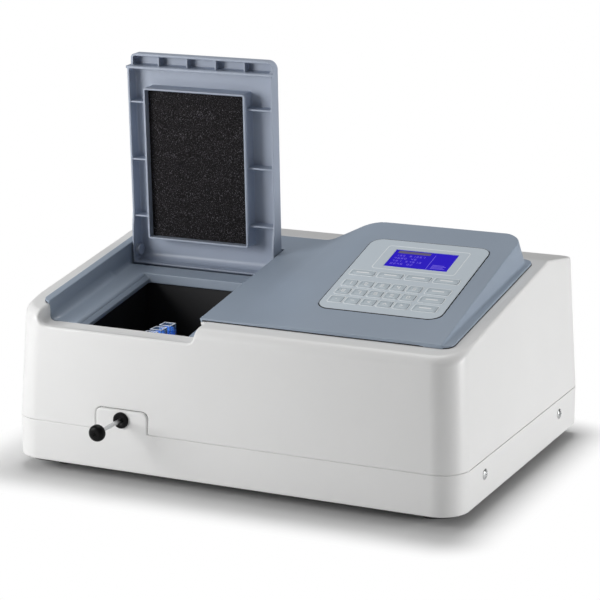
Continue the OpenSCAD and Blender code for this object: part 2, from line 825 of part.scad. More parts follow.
module lid_ribs() {
    half = lid_h / 2;
    bay = (lid_x1 - lip_x0) / lid_bays;
    rise(-half, half - lid_wall + eps) difference() {
        foam_outline(frame_t);
        foam_outline(0);
    }
    for (place = rib_places) {
        y = -foam_front - place * foam_l;
        low = half - lid_side_h + 0.5;
        block([lid_x0 + 1, y - rib_t / 2, low],
              [foam_x0 - frame_t + 0.5, y + rib_t / 2, half - lid_wall + eps]);
        block([foam_x0 + foam_w + frame_t - 0.5, y - rib_t / 2, low],
              [lid_x1 - 1, y + rib_t / 2, half - lid_wall + eps]);
    }
    for (i = [1 : lid_bays - 1])
        block([lip_x0 + i * bay - rib_t / 2, -lid_front + 1, half - lid_lip_depth + 3],
              [lip_x0 + i * bay + rib_t / 2, 1 - lid_baffle, half - lid_wall + eps]);
    rod_along_x(boss_r, lid_x0 + 1, lid_x0 + lid_wall + 4);
    rod_along_x(boss_r, lid_x1 - lid_wall - 4, lid_x1 - 1);
}

module lid() framed(light_grey_plastic) in_lid() difference() {
    union() {
        lid_shell();
        lid_ribs();
    }
    rod_along_x(pin_r, lid_x0 - 1, lid_x0 + lid_wall + 3);
    rod_along_x(pin_r, lid_x1 - lid_wall - 3, lid_x1 + 1);
}

module lid_foam() framed(dark_foam) in_lid()
    rise(foam_sink - lid_h / 2, lid_h / 2 - lid_wall) foam_outline(-touch_gap);

module hinge_pins() framed(bright_steel) in_lid() {
    rod_along_x(pin_r, trough_x0 - skin, lid_x0 + lid_wall + 3);
    rod_along_x(pin_r, lid_x1 - lid_wall - 3, trough_x1 + skin);
}

// Keypad and display

// Outline of one key, grown by the given gap
module key_outline(key, grow) {
    w = key[2] / 2 + grow;
    d = key[3] / 2 + grow;
    rounded(key[0] - w, key[0] + w, key[1] - d, key[1] + d, 1.5 + grow);
}

module key(k) framed(pale_key) on_console() {
    rise(key_stem_end + 2, panel_top + key_proud) key_outline(KEYS[k], 0);
    rise(key_stem_end + 1, panel_under - slide_gap) key_outline(KEYS[k], key_flange);
    translate([KEYS[k][0], KEYS[k][1], 0]) rod_along_z(2, key_stem_end, 0);
}

module keypad_panel() framed(pale_key) on_console() {
    difference() {
        rise(panel_under, panel_top) panel_outline(0);
        for (k = KEYS) rise(panel_under - 1, panel_top + 1) key_outline(k, key_gap);
        rise(panel_under - 1, panel_top + 1) translate([lcd_x0, lcd_front]) square([lcd_w, lcd_l]);
    }
    for (x = [panel_x0 + panel_ledge + 4, panel_x1 - panel_ledge - 4], y = [panel_front + 8, soft_row + 9])
        translate([x, y, 0]) rod_along_z(2, board_top, panel_under + eps);
}

module lcd_display() framed(screen_blue) on_console() {
    block([lcd_x0 + touch_gap, lcd_front + touch_gap, panel_under - 1],
          [lcd_x0 + lcd_w - touch_gap, lcd_front + lcd_l - touch_gap, panel_top - 0.3]);
    block([lcd_x0 - lcd_rim, lcd_front - 3, panel_under - lcd_t],
          [lcd_x0 + lcd_w + lcd_rim, lcd_front + lcd_l + lcd_rim, panel_under]);
}

module keypad_board() framed(board_green) on_console() {
    block([panel_x0 + panel_ledge + 1, panel_front + panel_ledge + 1, board_top - board_t],
          [panel_x1 - panel_ledge - 1, soft_row + 12, board_top]);
    for (k = KEYS) translate([k[0], k[1], 0]) {
        block([-3, -3, board_top - eps], [3, 3, switch_top - 1]);
        rod_along_z(1.6, switch_top - 1 - eps, switch_top);
    }
}

// Sample chamber and carriage

module sample_chamber() framed(black_paint) difference() {
    union() {
        block([chamber_x0 - chamber_wall, chamber_y0 - chamber_wall, chamber_floor_z - chamber_wall],
              [chamber_x1 + chamber_wall, chamber_y1 + chamber_wall, far]);
        for (x = [chamber_x0 + leg_r, chamber_x1 - leg_r],
             y = [chamber_y0 + leg_inset, chamber_y1 - leg_inset])
            translate([x, y, 0]) rod_along_z(leg_r, base_z, chamber_floor_z - chamber_wall + eps);
    }
    block([chamber_x0, chamber_y0, chamber_floor_z], [chamber_x1, chamber_y1, 2 * far]);
    on_top() block([-far, -far, -trough_depth - skin - slide_gap], [far, far, 2 * far]);
    at_beam(0, beam_y)
        rod_along_x(port_r, chamber_x0 - 2 * chamber_wall, chamber_x1 + 2 * chamber_wall);
    for (side = [-1, 1]) translate([row_x + side * rail_x, 0, rail_z])
        rod_along_y(rail_r + run_gap, chamber_y0 - 2 * chamber_wall, chamber_y1 + 2 * chamber_wall);
    translate([row_x, 0, rod_z]) rod_along_y(rod_r + 0.5, chamber_y0 - 2 * chamber_wall, chamber_y0 + 1);
}

module guide_rails() framed(bright_steel) for (side = [-1, 1]) translate([row_x + side * rail_x, 0, rail_z])
    rod_along_y(rail_r, chamber_y0 - chamber_wall, chamber_y1 + chamber_wall);

// Places of the cuvettes along the carriage
function cell_y(i) = row_y - row_half + i * cell_pitch;

module cuvette_carriage() framed(black_paint) difference() {
    union() {
        translate([row_x, row_y, 0]) {
            block([-carriage_half_x, -carriage_half_y, carriage_base_z],
                  [carriage_half_x, carriage_half_y, carriage_top_z]);
            block([-rail_x - bearing_r, -carriage_half_y, carriage_base_z - 4],
                  [rail_x + bearing_r, carriage_half_y, carriage_base_z + eps]);
            block([-lug_half, -carriage_half_y, rod_z - lug_half],
                  [lug_half, -carriage_half_y + lug_l, carriage_base_z]);
        }
        for (side = [-1, 1]) translate([row_x + side * rail_x, row_y, 0])
            block([-bearing_r, -carriage_half_y, rail_z - bearing_r],
                  [bearing_r, carriage_half_y, carriage_base_z]);
    }
    for (i = [0 : cell_count - 1]) translate([row_x, cell_y(i), 0]) {
        half = cell_w / 2 + cell_gap;
        block([-half, -half, cell_floor_z], [half, half, far]);
        translate([0, 0, beam_z]) rod_along_x(port_r - 1, -far / 10, far / 10);
    }
    for (side = [-1, 1]) translate([row_x + side * rail_x, 0, rail_z])
        rod_along_y(rail_r + run_gap, front_y, rear_y);
    translate([row_x, 0, rod_z]) rod_along_y(rod_r, front_y, row_y - carriage_half_y + rod_seat);
}

module cuvettes() framed(clear_cell) for (i = [0 : cell_count - 1]) translate([row_x, cell_y(i), 0]) {
    half = cell_w / 2;
    bore = half - cell_wall;
    difference() {
        block([-half, -half, cell_floor_z], [half, half, cell_rim_z]);
        block([-bore, -bore, cell_floor_z + cell_wall], [bore, bore, far]);
    }
}

module sample_liquid() framed(blue_liquid) for (i = [0 : cell_count - 1]) translate([row_x, cell_y(i), 0]) {
    half = cell_w / 2 - cell_wall - run_gap;
    block([-half, -half, cell_floor_z + cell_wall], [half, half, cell_rim_z - fill_drop]);
}

module pull_rod() framed(bright_steel) translate([row_x, 0, rod_z])
    rod_along_y(rod_r, knob_y, row_y - carriage_half_y + rod_seat);

module rod_knob() framed(black_paint) translate([row_x, knob_y, rod_z]) rotate([90, 0, 0]) difference() {
    rotate_extrude() polygon([
        [0, -knob_l / 2 - knob_collar_l], [knob_collar_r, -knob_l / 2 - knob_collar_l],
        [knob_collar_r, -knob_l / 2], [knob_r - 1, -knob_l / 2], [knob_r, -knob_l / 2 + 1],
        [knob_r, knob_l / 2 - 2], [knob_r - 2, knob_l / 2], [0, knob_l / 2]]);
    rod_along_z(rod_r, -knob_l, 0);
}

module rod_bushing() framed(black_paint) translate([row_x, front_y, rod_z]) rotate([90, 0, 0])
    rotate_extrude() polygon([
        [rod_r + run_gap, -wall - 2], [bush_barrel_r - run_gap, -wall - 2], [bush_barrel_r - run_gap, 0],
        [bush_r, 0], [bush_r, bush_flange_t - bush_edge], [bush_r - bush_edge, bush_flange_t],
        [rod_r + run_gap, bush_flange_t]]);

// Optics

module detector_unit() framed(cast_metal) {
    x1 = chamber_x0 - chamber_wall - touch_gap;
    difference() {
        at_beam(x1, beam_y) block([-34, -20, -20], [0, 20, 20]);
        at_beam(0, beam_y) rod_along_x(port_r, x1 - 20, x1 + 1);
        at_beam(x1, beam_y) block([-31, -17, -17], [-22, 17, 17]);
    }
    at_beam(x1, beam_y) {
        rod_along_x(port_r - 0.5, -26, -21.5);
        block([-35.6, -22, -22], [-34, 22, 22]);
    }
}

module monochromator_housing() framed(cast_metal) difference() {
    union() {
        block([mono_x0, mono_y0, mono_z0], [mono_x1, mono_y1, mono_z1]);
        for (x = [mono_x0 + mono_leg_r, mono_x1 - mono_leg_r],
             y = [mono_y0 + mono_leg_r, mono_y1 - mono_leg_r])
            translate([x, y, 0]) rod_along_z(mono_leg_r, base_z, mono_z0 + eps);
    }
    difference() {
        block([mono_x0 + mono_wall, mono_y0 + mono_wall, mono_floor_z],
              [mono_x1 - mono_wall, mono_y1 - mono_wall, far]);
        block([screw_x0 - post_t, screw_y - nut_half, mono_floor_z - 1],
              [screw_x0, screw_y + nut_half, screw_z + post_t]);
        translate([grating_x, grating_y, 0])
            rod_along_z(turn_shaft_r + 5, mono_floor_z - 1, turn_z - slide_gap);
    }
    at_beam(0, beam_y) rod_along_x(port_r, mono_x0 - 1, mono_x0 + 2 * mono_wall);
    at_beam(fold_x, 0) rod_along_y(port_r, mono_y1 - 2 * mono_wall, mono_y1 + 1);
    translate([grating_x, grating_y, 0]) rod_along_z(turn_shaft_r + run_gap, mono_z0 - 1, far);
    translate([0, screw_y, screw_z]) {
        rod_along_x(screw_r + run_gap, screw_x0 - 4, screw_x0 + 1);
        rod_along_x(screw_r + run_gap, mono_x1 - 2 * mono_wall, mono_x1 + 1);
    }
}

module monochromator_cover() framed(black_paint)
    block([mono_x0, mono_y0, mono_z1], [mono_x1, mono_y1, mono_z1 + 2]);

// Round mirror in its cell on the right wall
module wall_mirror(y) at_beam(0, y) {
    rod_along_x(mirror_r, mono_x1 - mono_wall - mirror_t, mono_x1 - mono_wall);
    rod_along_x(mirror_r - 3, mono_x1 - mono_wall - mirror_t - 2, mono_x1 - mono_wall - mirror_t + eps);
}

module mirrors() framed(mirror_silver) {
    wall_mirror(beam_y);
    wall_mirror(fold_y);
    translate([fold_x, fold_y, 0]) rotate(45) {
        block([-12, 0, mono_floor_z], [12, 5, beam_z + 12]);
    }
}

module grating_turntable() framed(black_paint) translate([grating_x, grating_y, 0]) {
    rod_along_z(turn_shaft_r, mono_z0, turn_z + eps);
    rod_along_z(turn_r, turn_z, turn_z + turn_t);
    block([-arm_half, 0, turn_z], [arm_half, sine_arm, turn_z + turn_t]);
    translate([0, sine_arm, 0]) rod_along_z(arm_pin_r, turn_z - 3, turn_z + turn_t + 1);
    block([-8, -13, turn_z + turn_t - eps], [-3, 13, beam_z + 15]);
}

module grating() framed(mirror_silver) translate([grating_x, grating_y, 0])
    block([-3, -13, beam_z - 15], [3, 13, beam_z + 15]);

module drive_nut() framed(bright_steel) difference() {
    translate([nut_x0, screw_y, 0])
        block([0, -nut_half, mono_floor_z + slide_gap], [nut_l, nut_half, screw_z + screw_r + 4]);
    translate([0, screw_y, screw_z]) rod_along_x(screw_r + run_gap, nut_x0 - 1, nut_x0 + nut_l + 1);
}

module lead_screw() framed(bright_steel) translate([0, screw_y, screw_z])
    rod_along_x(screw_r, screw_x0 - 4, mono_x1 + 6);

module stepper_motor() framed(black_paint) difference() {
    translate([mono_x1 + touch_gap, screw_y, screw_z]) along_x(0, motor_l)
        rounded(-motor_w / 2, motor_w / 2, -motor_w / 2, motor_w / 2, 3);
    translate([0, screw_y, screw_z]) rod_along_x(screw_r + run_gap, mono_x1, mono_x1 + 7);
}

module lamp_housing() framed(cast_metal) difference() {
    union() {
        block([lamp_x0, lamp_y0, lamp_z0], [lamp_x0 + lamp_w, lamp_y0 + lamp_d, lamp_z1]);
        at_beam(fold_x, 0) rod_along_y(port_r + 6, mono_y1 + touch_gap, lamp_y0 + 1);
        for (x = [lamp_x0 + 6, lamp_x0 + lamp_w - 6], y = [lamp_y0 + 6, lamp_y0 + lamp_d - 6])
            translate([x, y, 0]) rod_along_z(leg_r, base_z, lamp_z0 + eps);
    }
    block([lamp_x0 + lamp_wall, lamp_y0 + lamp_wall, lamp_z0 + lamp_wall],
          [lamp_x0 + lamp_w - lamp_wall, lamp_y0 + lamp_d - lamp_wall, lamp_z1 - lamp_wall]);
    at_beam(fold_x, 0) rod_along_y(port_r, mono_y1, lamp_y0 + 2 * lamp_wall);
    for (i = [-2:2]) block([fold_x + i * 9 - 2, lamp_y0 + 10, lamp_z1 - 2 * lamp_wall],
                           [fold_x + i * 9 + 2, lamp_y0 + lamp_d - 10, lamp_z1 + 1]);
}

module halogen_lamp() framed(clear_cell) translate([fold_x, lamp_y, lamp_z0 + lamp_wall]) {
    rod_along_z(9, 0, 12);
    rod_along_z(5.5, 12 - eps, 36);
    translate([0, 0, 36]) sphere(5.5);
}

// Electronics and rear

module rear_panel() framed(cast_metal) difference() {
    block([-window_half - 8, rear_panel_y, base_z + wall + touch_gap],
          [window_half + 8, rear_panel_y + rear_t, rear_panel_z]);
    along_y(rear_panel_y - 1, rear_panel_y + 2 * rear_t) {
        translate([fan_x, fan_z]) circle(fan_hole);
        translate([inlet_x + inlet_x0 - touch_gap, inlet_z - inlet_half - touch_gap])
            square([inlet_x1 - inlet_x0 + 2 * touch_gap, 2 * (inlet_half + touch_gap)]);
        for (x = port_xs) translate([x - port_w / 2 - fit_gap, main_z + board_t - fit_gap])
            square([port_w + 2 * fit_gap, port_w + 2 * fit_gap]);
    }
}

// Rings of the fan's guard, carried by the frame's struts
module fan_guard() for (r = [guard_step : guard_step : fan_hole - guard_step / 2]) difference() {
    circle(r + guard_bar / 2);
    circle(r - guard_bar / 2);
}

module at_fan() translate([fan_x, rear_panel_y, fan_z]) rotate([90, 0, 0]) children();

module fan_frame() framed(black_paint) at_fan() {
    rise(0, fan_t) difference() {
        rounded(-fan_w / 2, fan_w / 2, -fan_w / 2, fan_w / 2, 4);
        circle(fan_hole);
        for (x = [-1, 1], y = [-1, 1]) translate([x, y] * (fan_w / 2 - 4.5)) circle(2);
    }
    rise(0, strut_t) for (turn = [30, 150, 270]) rotate(turn)
        translate([0, -strut_w / 2]) square([fan_hole + 0.5, strut_w]);
    rise(touch_gap - rear_t, strut_t / 2) fan_guard();
    rod_along_z(hub_r - 1, 0, hub_t);
    rod_along_z(spindle_r, hub_t - eps, fan_t - 2);
}

module fan_rotor() framed(black_paint) at_fan() difference() {
    union() {
        rod_along_z(hub_r, hub_t + slide_gap, fan_t - 1);
        for (i = [0 : blade_count - 1]) rotate(i * 360 / blade_count)
            translate([hub_r - 1, 0, fan_t / 2 + 1]) rotate([35, 0, 0])
                block([0, -blade_w / 2, -blade_t / 2], [fan_hole - hub_r - 0.4, blade_w / 2, blade_t / 2]);
    }
    rod_along_z(spindle_r + run_gap, 0, fan_t);
}

module power_inlet() framed(black_paint) translate([inlet_x, rear_panel_y + rear_t, inlet_z]) {
    rocker_at = rocker_x - inlet_x;
    rocker_half = rocker_w / 2 + rocker_room;
    flange_half = inlet_half + inlet_rim;
    difference() {
        union() {
            along_y(0, 2) rounded(inlet_x0 - inlet_rim, inlet_x1 + inlet_rim, -flange_half, flange_half, 3);
            block([inlet_x0, -inlet_l, -inlet_half], [inlet_x1, eps, inlet_half]);
        }
        along_y(-socket_l, 3) rounded(-socket_w / 2, socket_w / 2, -socket_h / 2, socket_h / 2, 2);
        along_y(-socket_l, 3) rounded(
            rocker_at - rocker_half, rocker_at + rocker_half, -rocker_h / 2 - 1, rocker_h / 2 + 1, 1);
    }
    for (x = [-blade_gap, 0, blade_gap]) translate([x, 0, x == 0 ? 3 : -1])
        block([-1, -socket_l - eps, -2], [1, blade_l - socket_l, 2]);
    for (side = [-1, 1]) translate([rocker_at, -trunnion_y, 0]) rotate([0, 0, 90 - side * 90])
        rod_along_x(trunnion_r, rocker_w / 2 - 2, rocker_half + 0.5);
}

module power_switch() framed(black_paint) translate([rocker_x, rear_panel_y + rear_t - trunnion_y, inlet_z])
    rotate([-rocker_tilt, 0, 0]) difference() {
        along_x(-rocker_w / 2, rocker_w / 2) polygon([
            [-5, -4], [-5, 4], [6.5, rocker_h / 2], [8.5, rocker_h / 2 - 0.5], [7.2, 0],
            [8.5, 0.5 - rocker_h / 2], [6.5, -rocker_h / 2]]);
        rod_along_x(trunnion_r + run_gap, -rocker_w, rocker_w);
    }

module main_board() framed(board_green) {
    block([main_x0, main_y0, main_z], [main_x1, main_y1, main_z + board_t]);
    translate([main_x0, main_y0, main_z + board_t - eps]) {
        translate([14, 14, 0]) cube([chip_w, chip_w, 4]);
        translate([60, 20, 0]) cube([18, 36, 3]);
        translate([96, 16, 0]) cube([6, 4 * fin_step, sink_h]);
        for (i = [0:3]) translate([101, 18 + i * fin_step, 0]) cube([16, 4, sink_h - 2]);
        for (i = [0:2]) translate([24 + i * 3 * can_r, 78, 0]) rod_along_z(can_r, 0, can_h);
    }
    for (x = port_xs) block(
        [x - port_w / 2, main_y1 - 10, main_z + board_t - eps],
        [x + port_w / 2, rear_panel_y + rear_t + 1, main_z + board_t + port_w]);
}

module power_supply() framed(bright_steel) difference() {
    block([supply_x0, supply_y0, base_z], [supply_x1, supply_y1, base_z + supply_h]);
    for (y = [supply_y0 + 10 : slot_step : supply_y1 - terminal_d - slot_step])
        block([supply_x0 + 10, y, base_z + supply_h - 2], [supply_x1 - 10, y + 4, far]);
    block([supply_x0 + 8, supply_y1 - terminal_d, base_z + 14], [supply_x1 - 8, supply_y1 + 1, far]);
}

base_plate();
rubber_feet();
lower_casing();
upper_casing();
casing_screws();
rear_panel();
top_cover();
keypad_panel();
lcd_display();
keypad_board();
sample_chamber();
guide_rails();
rod_bushing();
detector_unit();
monochromator_housing();
monochromator_cover();
mirrors();
stepper_motor();
lamp_housing();
halogen_lamp();
main_board();
power_supply();
power_inlet();
fan_frame();
lid();
lid_foam();
hinge_pins();
cuvette_carriage();
cuvettes();
sample_liquid();
pull_rod();
rod_knob();
power_switch();
fan_rotor();
grating_turntable();
grating();
drive_nut();
lead_screw();
for (k = [0 : len(KEYS) - 1]) key(k);
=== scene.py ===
"""Looks of a bench-top spectrophotometer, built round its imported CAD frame."""

import json
import math

import bpy
import numpy as np
from mathutils import Matrix, Vector


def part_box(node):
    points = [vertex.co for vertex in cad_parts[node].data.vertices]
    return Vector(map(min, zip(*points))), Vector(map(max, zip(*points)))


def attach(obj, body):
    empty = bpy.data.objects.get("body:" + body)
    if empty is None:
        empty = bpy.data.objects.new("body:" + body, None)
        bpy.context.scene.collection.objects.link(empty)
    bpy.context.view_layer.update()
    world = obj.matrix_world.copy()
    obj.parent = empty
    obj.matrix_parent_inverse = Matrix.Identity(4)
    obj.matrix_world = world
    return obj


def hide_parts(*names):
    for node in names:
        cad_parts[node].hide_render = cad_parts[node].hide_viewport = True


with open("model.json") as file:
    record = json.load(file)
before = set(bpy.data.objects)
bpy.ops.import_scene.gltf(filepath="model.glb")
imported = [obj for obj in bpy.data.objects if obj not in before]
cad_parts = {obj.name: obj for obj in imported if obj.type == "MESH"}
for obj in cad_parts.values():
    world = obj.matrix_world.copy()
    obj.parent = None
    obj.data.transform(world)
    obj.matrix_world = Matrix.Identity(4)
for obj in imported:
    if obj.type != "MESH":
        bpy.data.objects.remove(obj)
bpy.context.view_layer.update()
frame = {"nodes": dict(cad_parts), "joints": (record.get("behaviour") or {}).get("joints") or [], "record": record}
nodes = frame["nodes"]
joints = {joint["name"]: joint for joint in frame["joints"]}

# Lengths below are in millimetres in the row frame, angles in degrees. FAR lies well past every face.
MM = 0.001
FAR = 200.0
COARSE = 1.0


def box_mm(node):
    """Lowest and highest corner of a CAD node, in millimetres."""
    low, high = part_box(node)
    return np.array(low) / MM, np.array(high) / MM


# Sizes read from the frame
casing_low, casing_high = box_mm("lower_casing")
lid_low, lid_high = box_mm("lid")
rod_low, rod_high = box_mm("pull_rod")
LEFT, FRONT, BASE = casing_low
RIGHT, REAR = casing_high[:2]
SEAM = box_mm("upper_casing")[0][2]
TAB_TOP = casing_high[2]
HINGE = np.array(joints["lid_hinge"]["pos_m"]) / MM
LID_X0, LID_X1 = lid_low[0], lid_high[0]
ROD_X, ROD_Z = (rod_low + rod_high)[[0, 2]] / 2
ROD_R = (rod_high[0] - rod_low[0]) / 2

# Casing
TOP_FRONT = 155.5
TOP_SLOPE = 8.8
CREST_BACK = 255.0
REAR_SLOPE = 8.5
DRAFT = 3.0
WALL = 3.0
SHELL_T = 4.0
FRONT_R = 28.0
REAR_R = 17.0
EDGE_R = 9.0
SIDE_EDGE_R = 2.0
CREST_EASE = 1.2
FLANGE_W = 14.0
SEAM_R = 0.7
SIDE_SEAM_R = 0.25
CUT_R = 1.2
NOTCH_EDGE_R = 2.4
TAB_W = 55.0
TAB_R = 6.0
TAB_GAP = 0.06
TAB_EDGE_R = 2.0
BUSH_BORE = 4.8
BORE_EDGE_R = 0.4
WINDOW_HALF = (RIGHT - LEFT) / 2 - 50.0
WINDOW_Z0 = BASE + 8.0
WINDOW_Z1 = 98.0

# Top cover, along and above the sloped top
TOP_COS = math.cos(math.radians(TOP_SLOPE))
TOP_SIN = math.sin(math.radians(TOP_SLOPE))
COVER_X0 = LEFT + 21.0
COVER_X1 = RIGHT - 20.0
COVER_A0 = 28.0 / TOP_COS
COVER_A1 = 247.0 / TOP_COS
DECK_T = 2.5
DECK_R = 10.0
DECK_LAP = 5.0
SKIN = 2.5
FIT_GAP = 0.4
LIP_H = 7.0
INNER_R = 1.0
MOUTH_R = 1.5
MOUTH_EDGE_R = 0.8
SEAT_R = 0.3

# Lid, about its hinge
LID_H = 19.5
LID_FRONT = 201.5
LID_BAFFLE = 189.8
LID_TAIL = 13.5
LID_WALL = 2.5
LID_LIP = 12.0
LID_SIDE = 15.0
LID_FLARE = (44.0, 10.0)
LID_CORNER_R = 9.0
LIP_CORNER_R = 6.5
LID_LEAN = 87.5
LID_BAYS = 5
TAIL_WALL = 3.0
HOLLOW_R = 2.5
POCKET_R = 1.5
TAIL_R = 8.0
TAIL_RIM_R = 4.0
LOW_EDGE_R = 3.5
RIB_T = 1.9
RIB_PLACES = (0.13, 0.52, 0.91)
FRAME_T = 2.2
BOSS_R = 6.0
BOSS_L = 4.0
LID_EDGE_R = 2.0
LID_FINE_R = 0.6
RIB_EDGE_R = 0.5
RIB_FILLET = 0.8
FOAM_W = 108.0
FOAM_L = 150.0
FOAM_SINK = 6.0
FOAM_X0 = LID_X0 + 21.7
FOAM_U0 = 16.7

# Trough of the lid, and the well behind it
LID_GAP = 0.8
TROUGH_X0 = LID_X0 - LID_GAP
TROUGH_X1 = LID_X1 + LID_GAP
TROUGH_FRONT = 9.5
TROUGH_DEPTH = 17.5
TROUGH_R = 8.0
TROUGH_END_R = 4.0
TROUGH_RIGHT_R = 1.0
TROUGH_BACK_R = 2.0
LINING_T = 3.0
LINING_BACK = 29.5
ROUND_BACK = 152.0
ROUND_FADE = 10.0
HINGE_BACK = 200.4
HINGE_DROP = LID_H / 2 - DECK_T
TROUGH_BACK = HINGE_BACK + LID_TAIL + 1.0
WELL_R = 15.6
WELL_FRONT = HINGE_BACK - WELL_R
WELL_DEPTH = HINGE_DROP + WELL_R

# Chamber's mouth
MOUTH_X0 = LEFT + 56.5
MOUTH_X1 = LEFT + 177.0
MOUTH_A0 = 14.0 / TOP_COS
MOUTH_A1 = 163.0 / TOP_COS
SKIRT_H = 9.5
SKIRT_T = 2.0
SKIRT_RUN = 0.22
BEVEL_H = 5.2
BEVEL_RUN = 1.3
BEVEL_LEDGE = 2.3

# Notch in the casing's front
NOTCH_X0 = TROUGH_X0
NOTCH_X1 = TROUGH_X1 + 3.0
NOTCH_Z = TOP_FRONT - 11.9
NOTCH_SLANT = 10.0
NOTCH_LEFT_R = 10.0
NOTCH_RIGHT_R = 4.5
LIP_X0 = LID_X0 + 2.0
LIP_R = 3.0

# Console and keypad, along and above the console's slope
CONSOLE_Z = 156.3
CONSOLE_SLOPE = 14.9
CONSOLE_X1 = RIGHT - 29.0
CONSOLE_X0 = CONSOLE_X1 - 155.0
CONSOLE_BACK = 252.0
CONSOLE_R = 22.0
RAMP_FOOT = CONSOLE_X0 - 50.0
RAMP_END = CONSOLE_X0 - 1.0
RAMP_PITCH = 0.4
RAMP_EDGE_R = 1.0
FOOT_EASE = 0.15
RIDGE_EASE = 0.3
WALL_FILLET = 2.0
FILLET_LEAST = 0.01
FILLET_X = (25.0, 12.0)
DECK_EDGE_R = 0.6
SIDE_RUN = 0.16
BACK_RUN = 0.09
PANEL_X1 = CONSOLE_X1 - 19.5
PANEL_X0 = PANEL_X1 - 121.5
PANEL_V0 = 70.5
PANEL_V1 = PANEL_V0 + 144.0
PANEL_R = 12.0
PANEL_T = 1.6
PANEL_TOP = 0.3
PANEL_GAP = 0.7
PANEL_LEDGE = 4.0


# Signed distances: negative inside

def rect(x, y, x0, x1, y0, y1, r):
    """Distance to a rectangle with round corners."""
    qx = np.abs(x - (x0 + x1) / 2) - (x1 - x0) / 2 + r
    qy = np.abs(y - (y0 + y1) / 2) - (y1 - y0) / 2 + r
    return np.hypot(np.maximum(qx, 0), np.maximum(qy, 0)) + np.minimum(np.maximum(qx, qy), 0) - r


def slab(v, low, high):
    """Distance to the space between two planes."""
    return np.maximum(low - v, v - high)


def join(a, b, r=0.0):
    """Union of two solids, with a fillet of radius r."""
    if np.isscalar(r) and r == 0:
        return np.minimum(a, b)
    return np.maximum(r, np.minimum(a, b)) - np.hypot(np.maximum(r - a, 0), np.maximum(r - b, 0))


def meet(a, b, r=0.0):
    """Overlap of two solids, with an edge of radius r."""
    return -join(-a, -b, r)


def ease(a, b, k):
    """Overlap of two solids that meet at a flat angle, eased over a height k."""
    near = np.maximum(k - np.abs(a - b), 0) / k
    return np.maximum(a, b) + near * near * k / 4


def cut(a, b, r=0.0):
    """Solid a without solid b, with an edge of radius r."""
    return meet(a, -b, r)


def step_up(v, low, high):
    """Smooth rise from 0 to 1 between two places."""
    t = np.clip((v - low) / (high - low), 0, 1)
    return t * t * (3 - 2 * t)


def leaning(distance, depth, run):
    """Distance to a wall that runs out as it goes down."""
    return (distance - depth * run) / math.hypot(1, run)


def on_top(y, z):
    """Distance along the casing's sloped top, and height above it."""
    back, up = y - FRONT, z - TOP_FRONT
    return back * TOP_COS + up * TOP_SIN, up * TOP_COS - back * TOP_SIN


def tilt(origin, angle, axis="X"):
    """Matrix, in metres, from a frame turned about an axis at a point to the row frame."""
    return Matrix.Translation(Vector(origin) * MM) @ Matrix.Rotation(math.radians(angle), 4, axis)


TOP_MATRIX = tilt((0, FRONT, TOP_FRONT), TOP_SLOPE)
CONSOLE_MATRIX = tilt((0, FRONT, CONSOLE_Z), CONSOLE_SLOPE)
LID_MATRIX = tilt(HINGE * (0, 1, 1), -LID_LEAN)


# Meshes from distances

CORNERS = np.array([(i, j, k) for i in (0, 1) for j in (0, 1) for k in (0, 1)])
EDGES = [(a, b) for a in range(8) for b in range(a + 1, 8) if np.abs(CORNERS[a] - CORNERS[b]).sum() == 1]


def net(field, low, high, step):
    """Vertices and quads of the surface where the field is zero, on a grid of that step."""
    axes = [np.arange(a - 1.5 * step, b + 2.5 * step, step) for a, b in zip(low, high)]
    grid = np.meshgrid(*axes, indexing="ij", sparse=True)
    values = np.ascontiguousarray(np.broadcast_to(field(*grid), [len(a) for a in axes])).astype(np.float32)
    inside = values < 0
    shape = np.array(values.shape) - 1
    count = np.zeros(shape, np.int8)
    for i, j, k in CORNERS:
        count += inside[i:i + shape[0], j:j + shape[1], k:k + shape[2]]
    cells = np.argwhere((count > 0) & (count < 8))
    number = np.full(shape, -1, np.int32)
    number[tuple(cells.T)] = np.arange(len(cells))
    corner = [values[tuple((cells + c).T)] for c in CORNERS]
    total = np.zeros((len(cells), 3))
    hits = np.zeros(len(cells))
    for a, b in EDGES:
        crossed = (corner[a] < 0) != (corner[b] < 0)
        share = np.where(crossed, corner[a] / np.where(crossed, corner[a] - corner[b], 1), 0)
        total += crossed[:, None] * (CORNERS[a] + share[:, None] * (CORNERS[b] - CORNERS[a]))
        hits += crossed
    points = (cells + total / hits[:, None]) * step + np.array([a[0] for a in axes])
    quads = []
    for axis in range(3):
        one, two = (axis + 1) % 3, (axis + 2) % 3
        start = [slice(1, -1)] * 3
        start[axis] = slice(0, -1)
        end = list(start)
        end[axis] = slice(1, None)
        first, second = inside[tuple(start)], inside[tuple(end)]
        for sign in (True, False):
            place = np.argwhere((first == sign) & (second != sign))
            place[:, one] += 1
            place[:, two] += 1
            ring = []
            for u, v in ((1, 1), (0, 1), (0, 0), (1, 0)):
                at = place.copy()
                at[:, one] -= u
                at[:, two] -= v
                ring.append(number[tuple(at.T)])
            quads.append(np.stack(ring if sign else ring[::-1], axis=1))
    return points, np.concatenate(quads)


def slopes(field, points, reach=0.02):
    """Gradient of the field at the points."""
    result = np.zeros_like(points)
    for axis in range(3):
        offset = np.zeros(3)
        offset[axis] = reach
        result[:, axis] = (field(*(points + offset).T) - field(*(points - offset).T)) / (2 * reach)
    return result


def settle(field, points, step, rounds=4):
    """Points moved onto the surface, no further than a step."""
    start = points.copy()
    for _ in range(rounds):
        slope = slopes(field, points)
        points = points - field(*points.T)[:, None] * slope / np.maximum((slope ** 2).sum(1), 0.2)[:, None]
        points = start + np.clip(points - start, -step, step)
    return points


def add_object(name, data):
    obj = bpy.data.objects.new(name, data)
    bpy.context.scene.collection.objects.link(obj)
    return obj


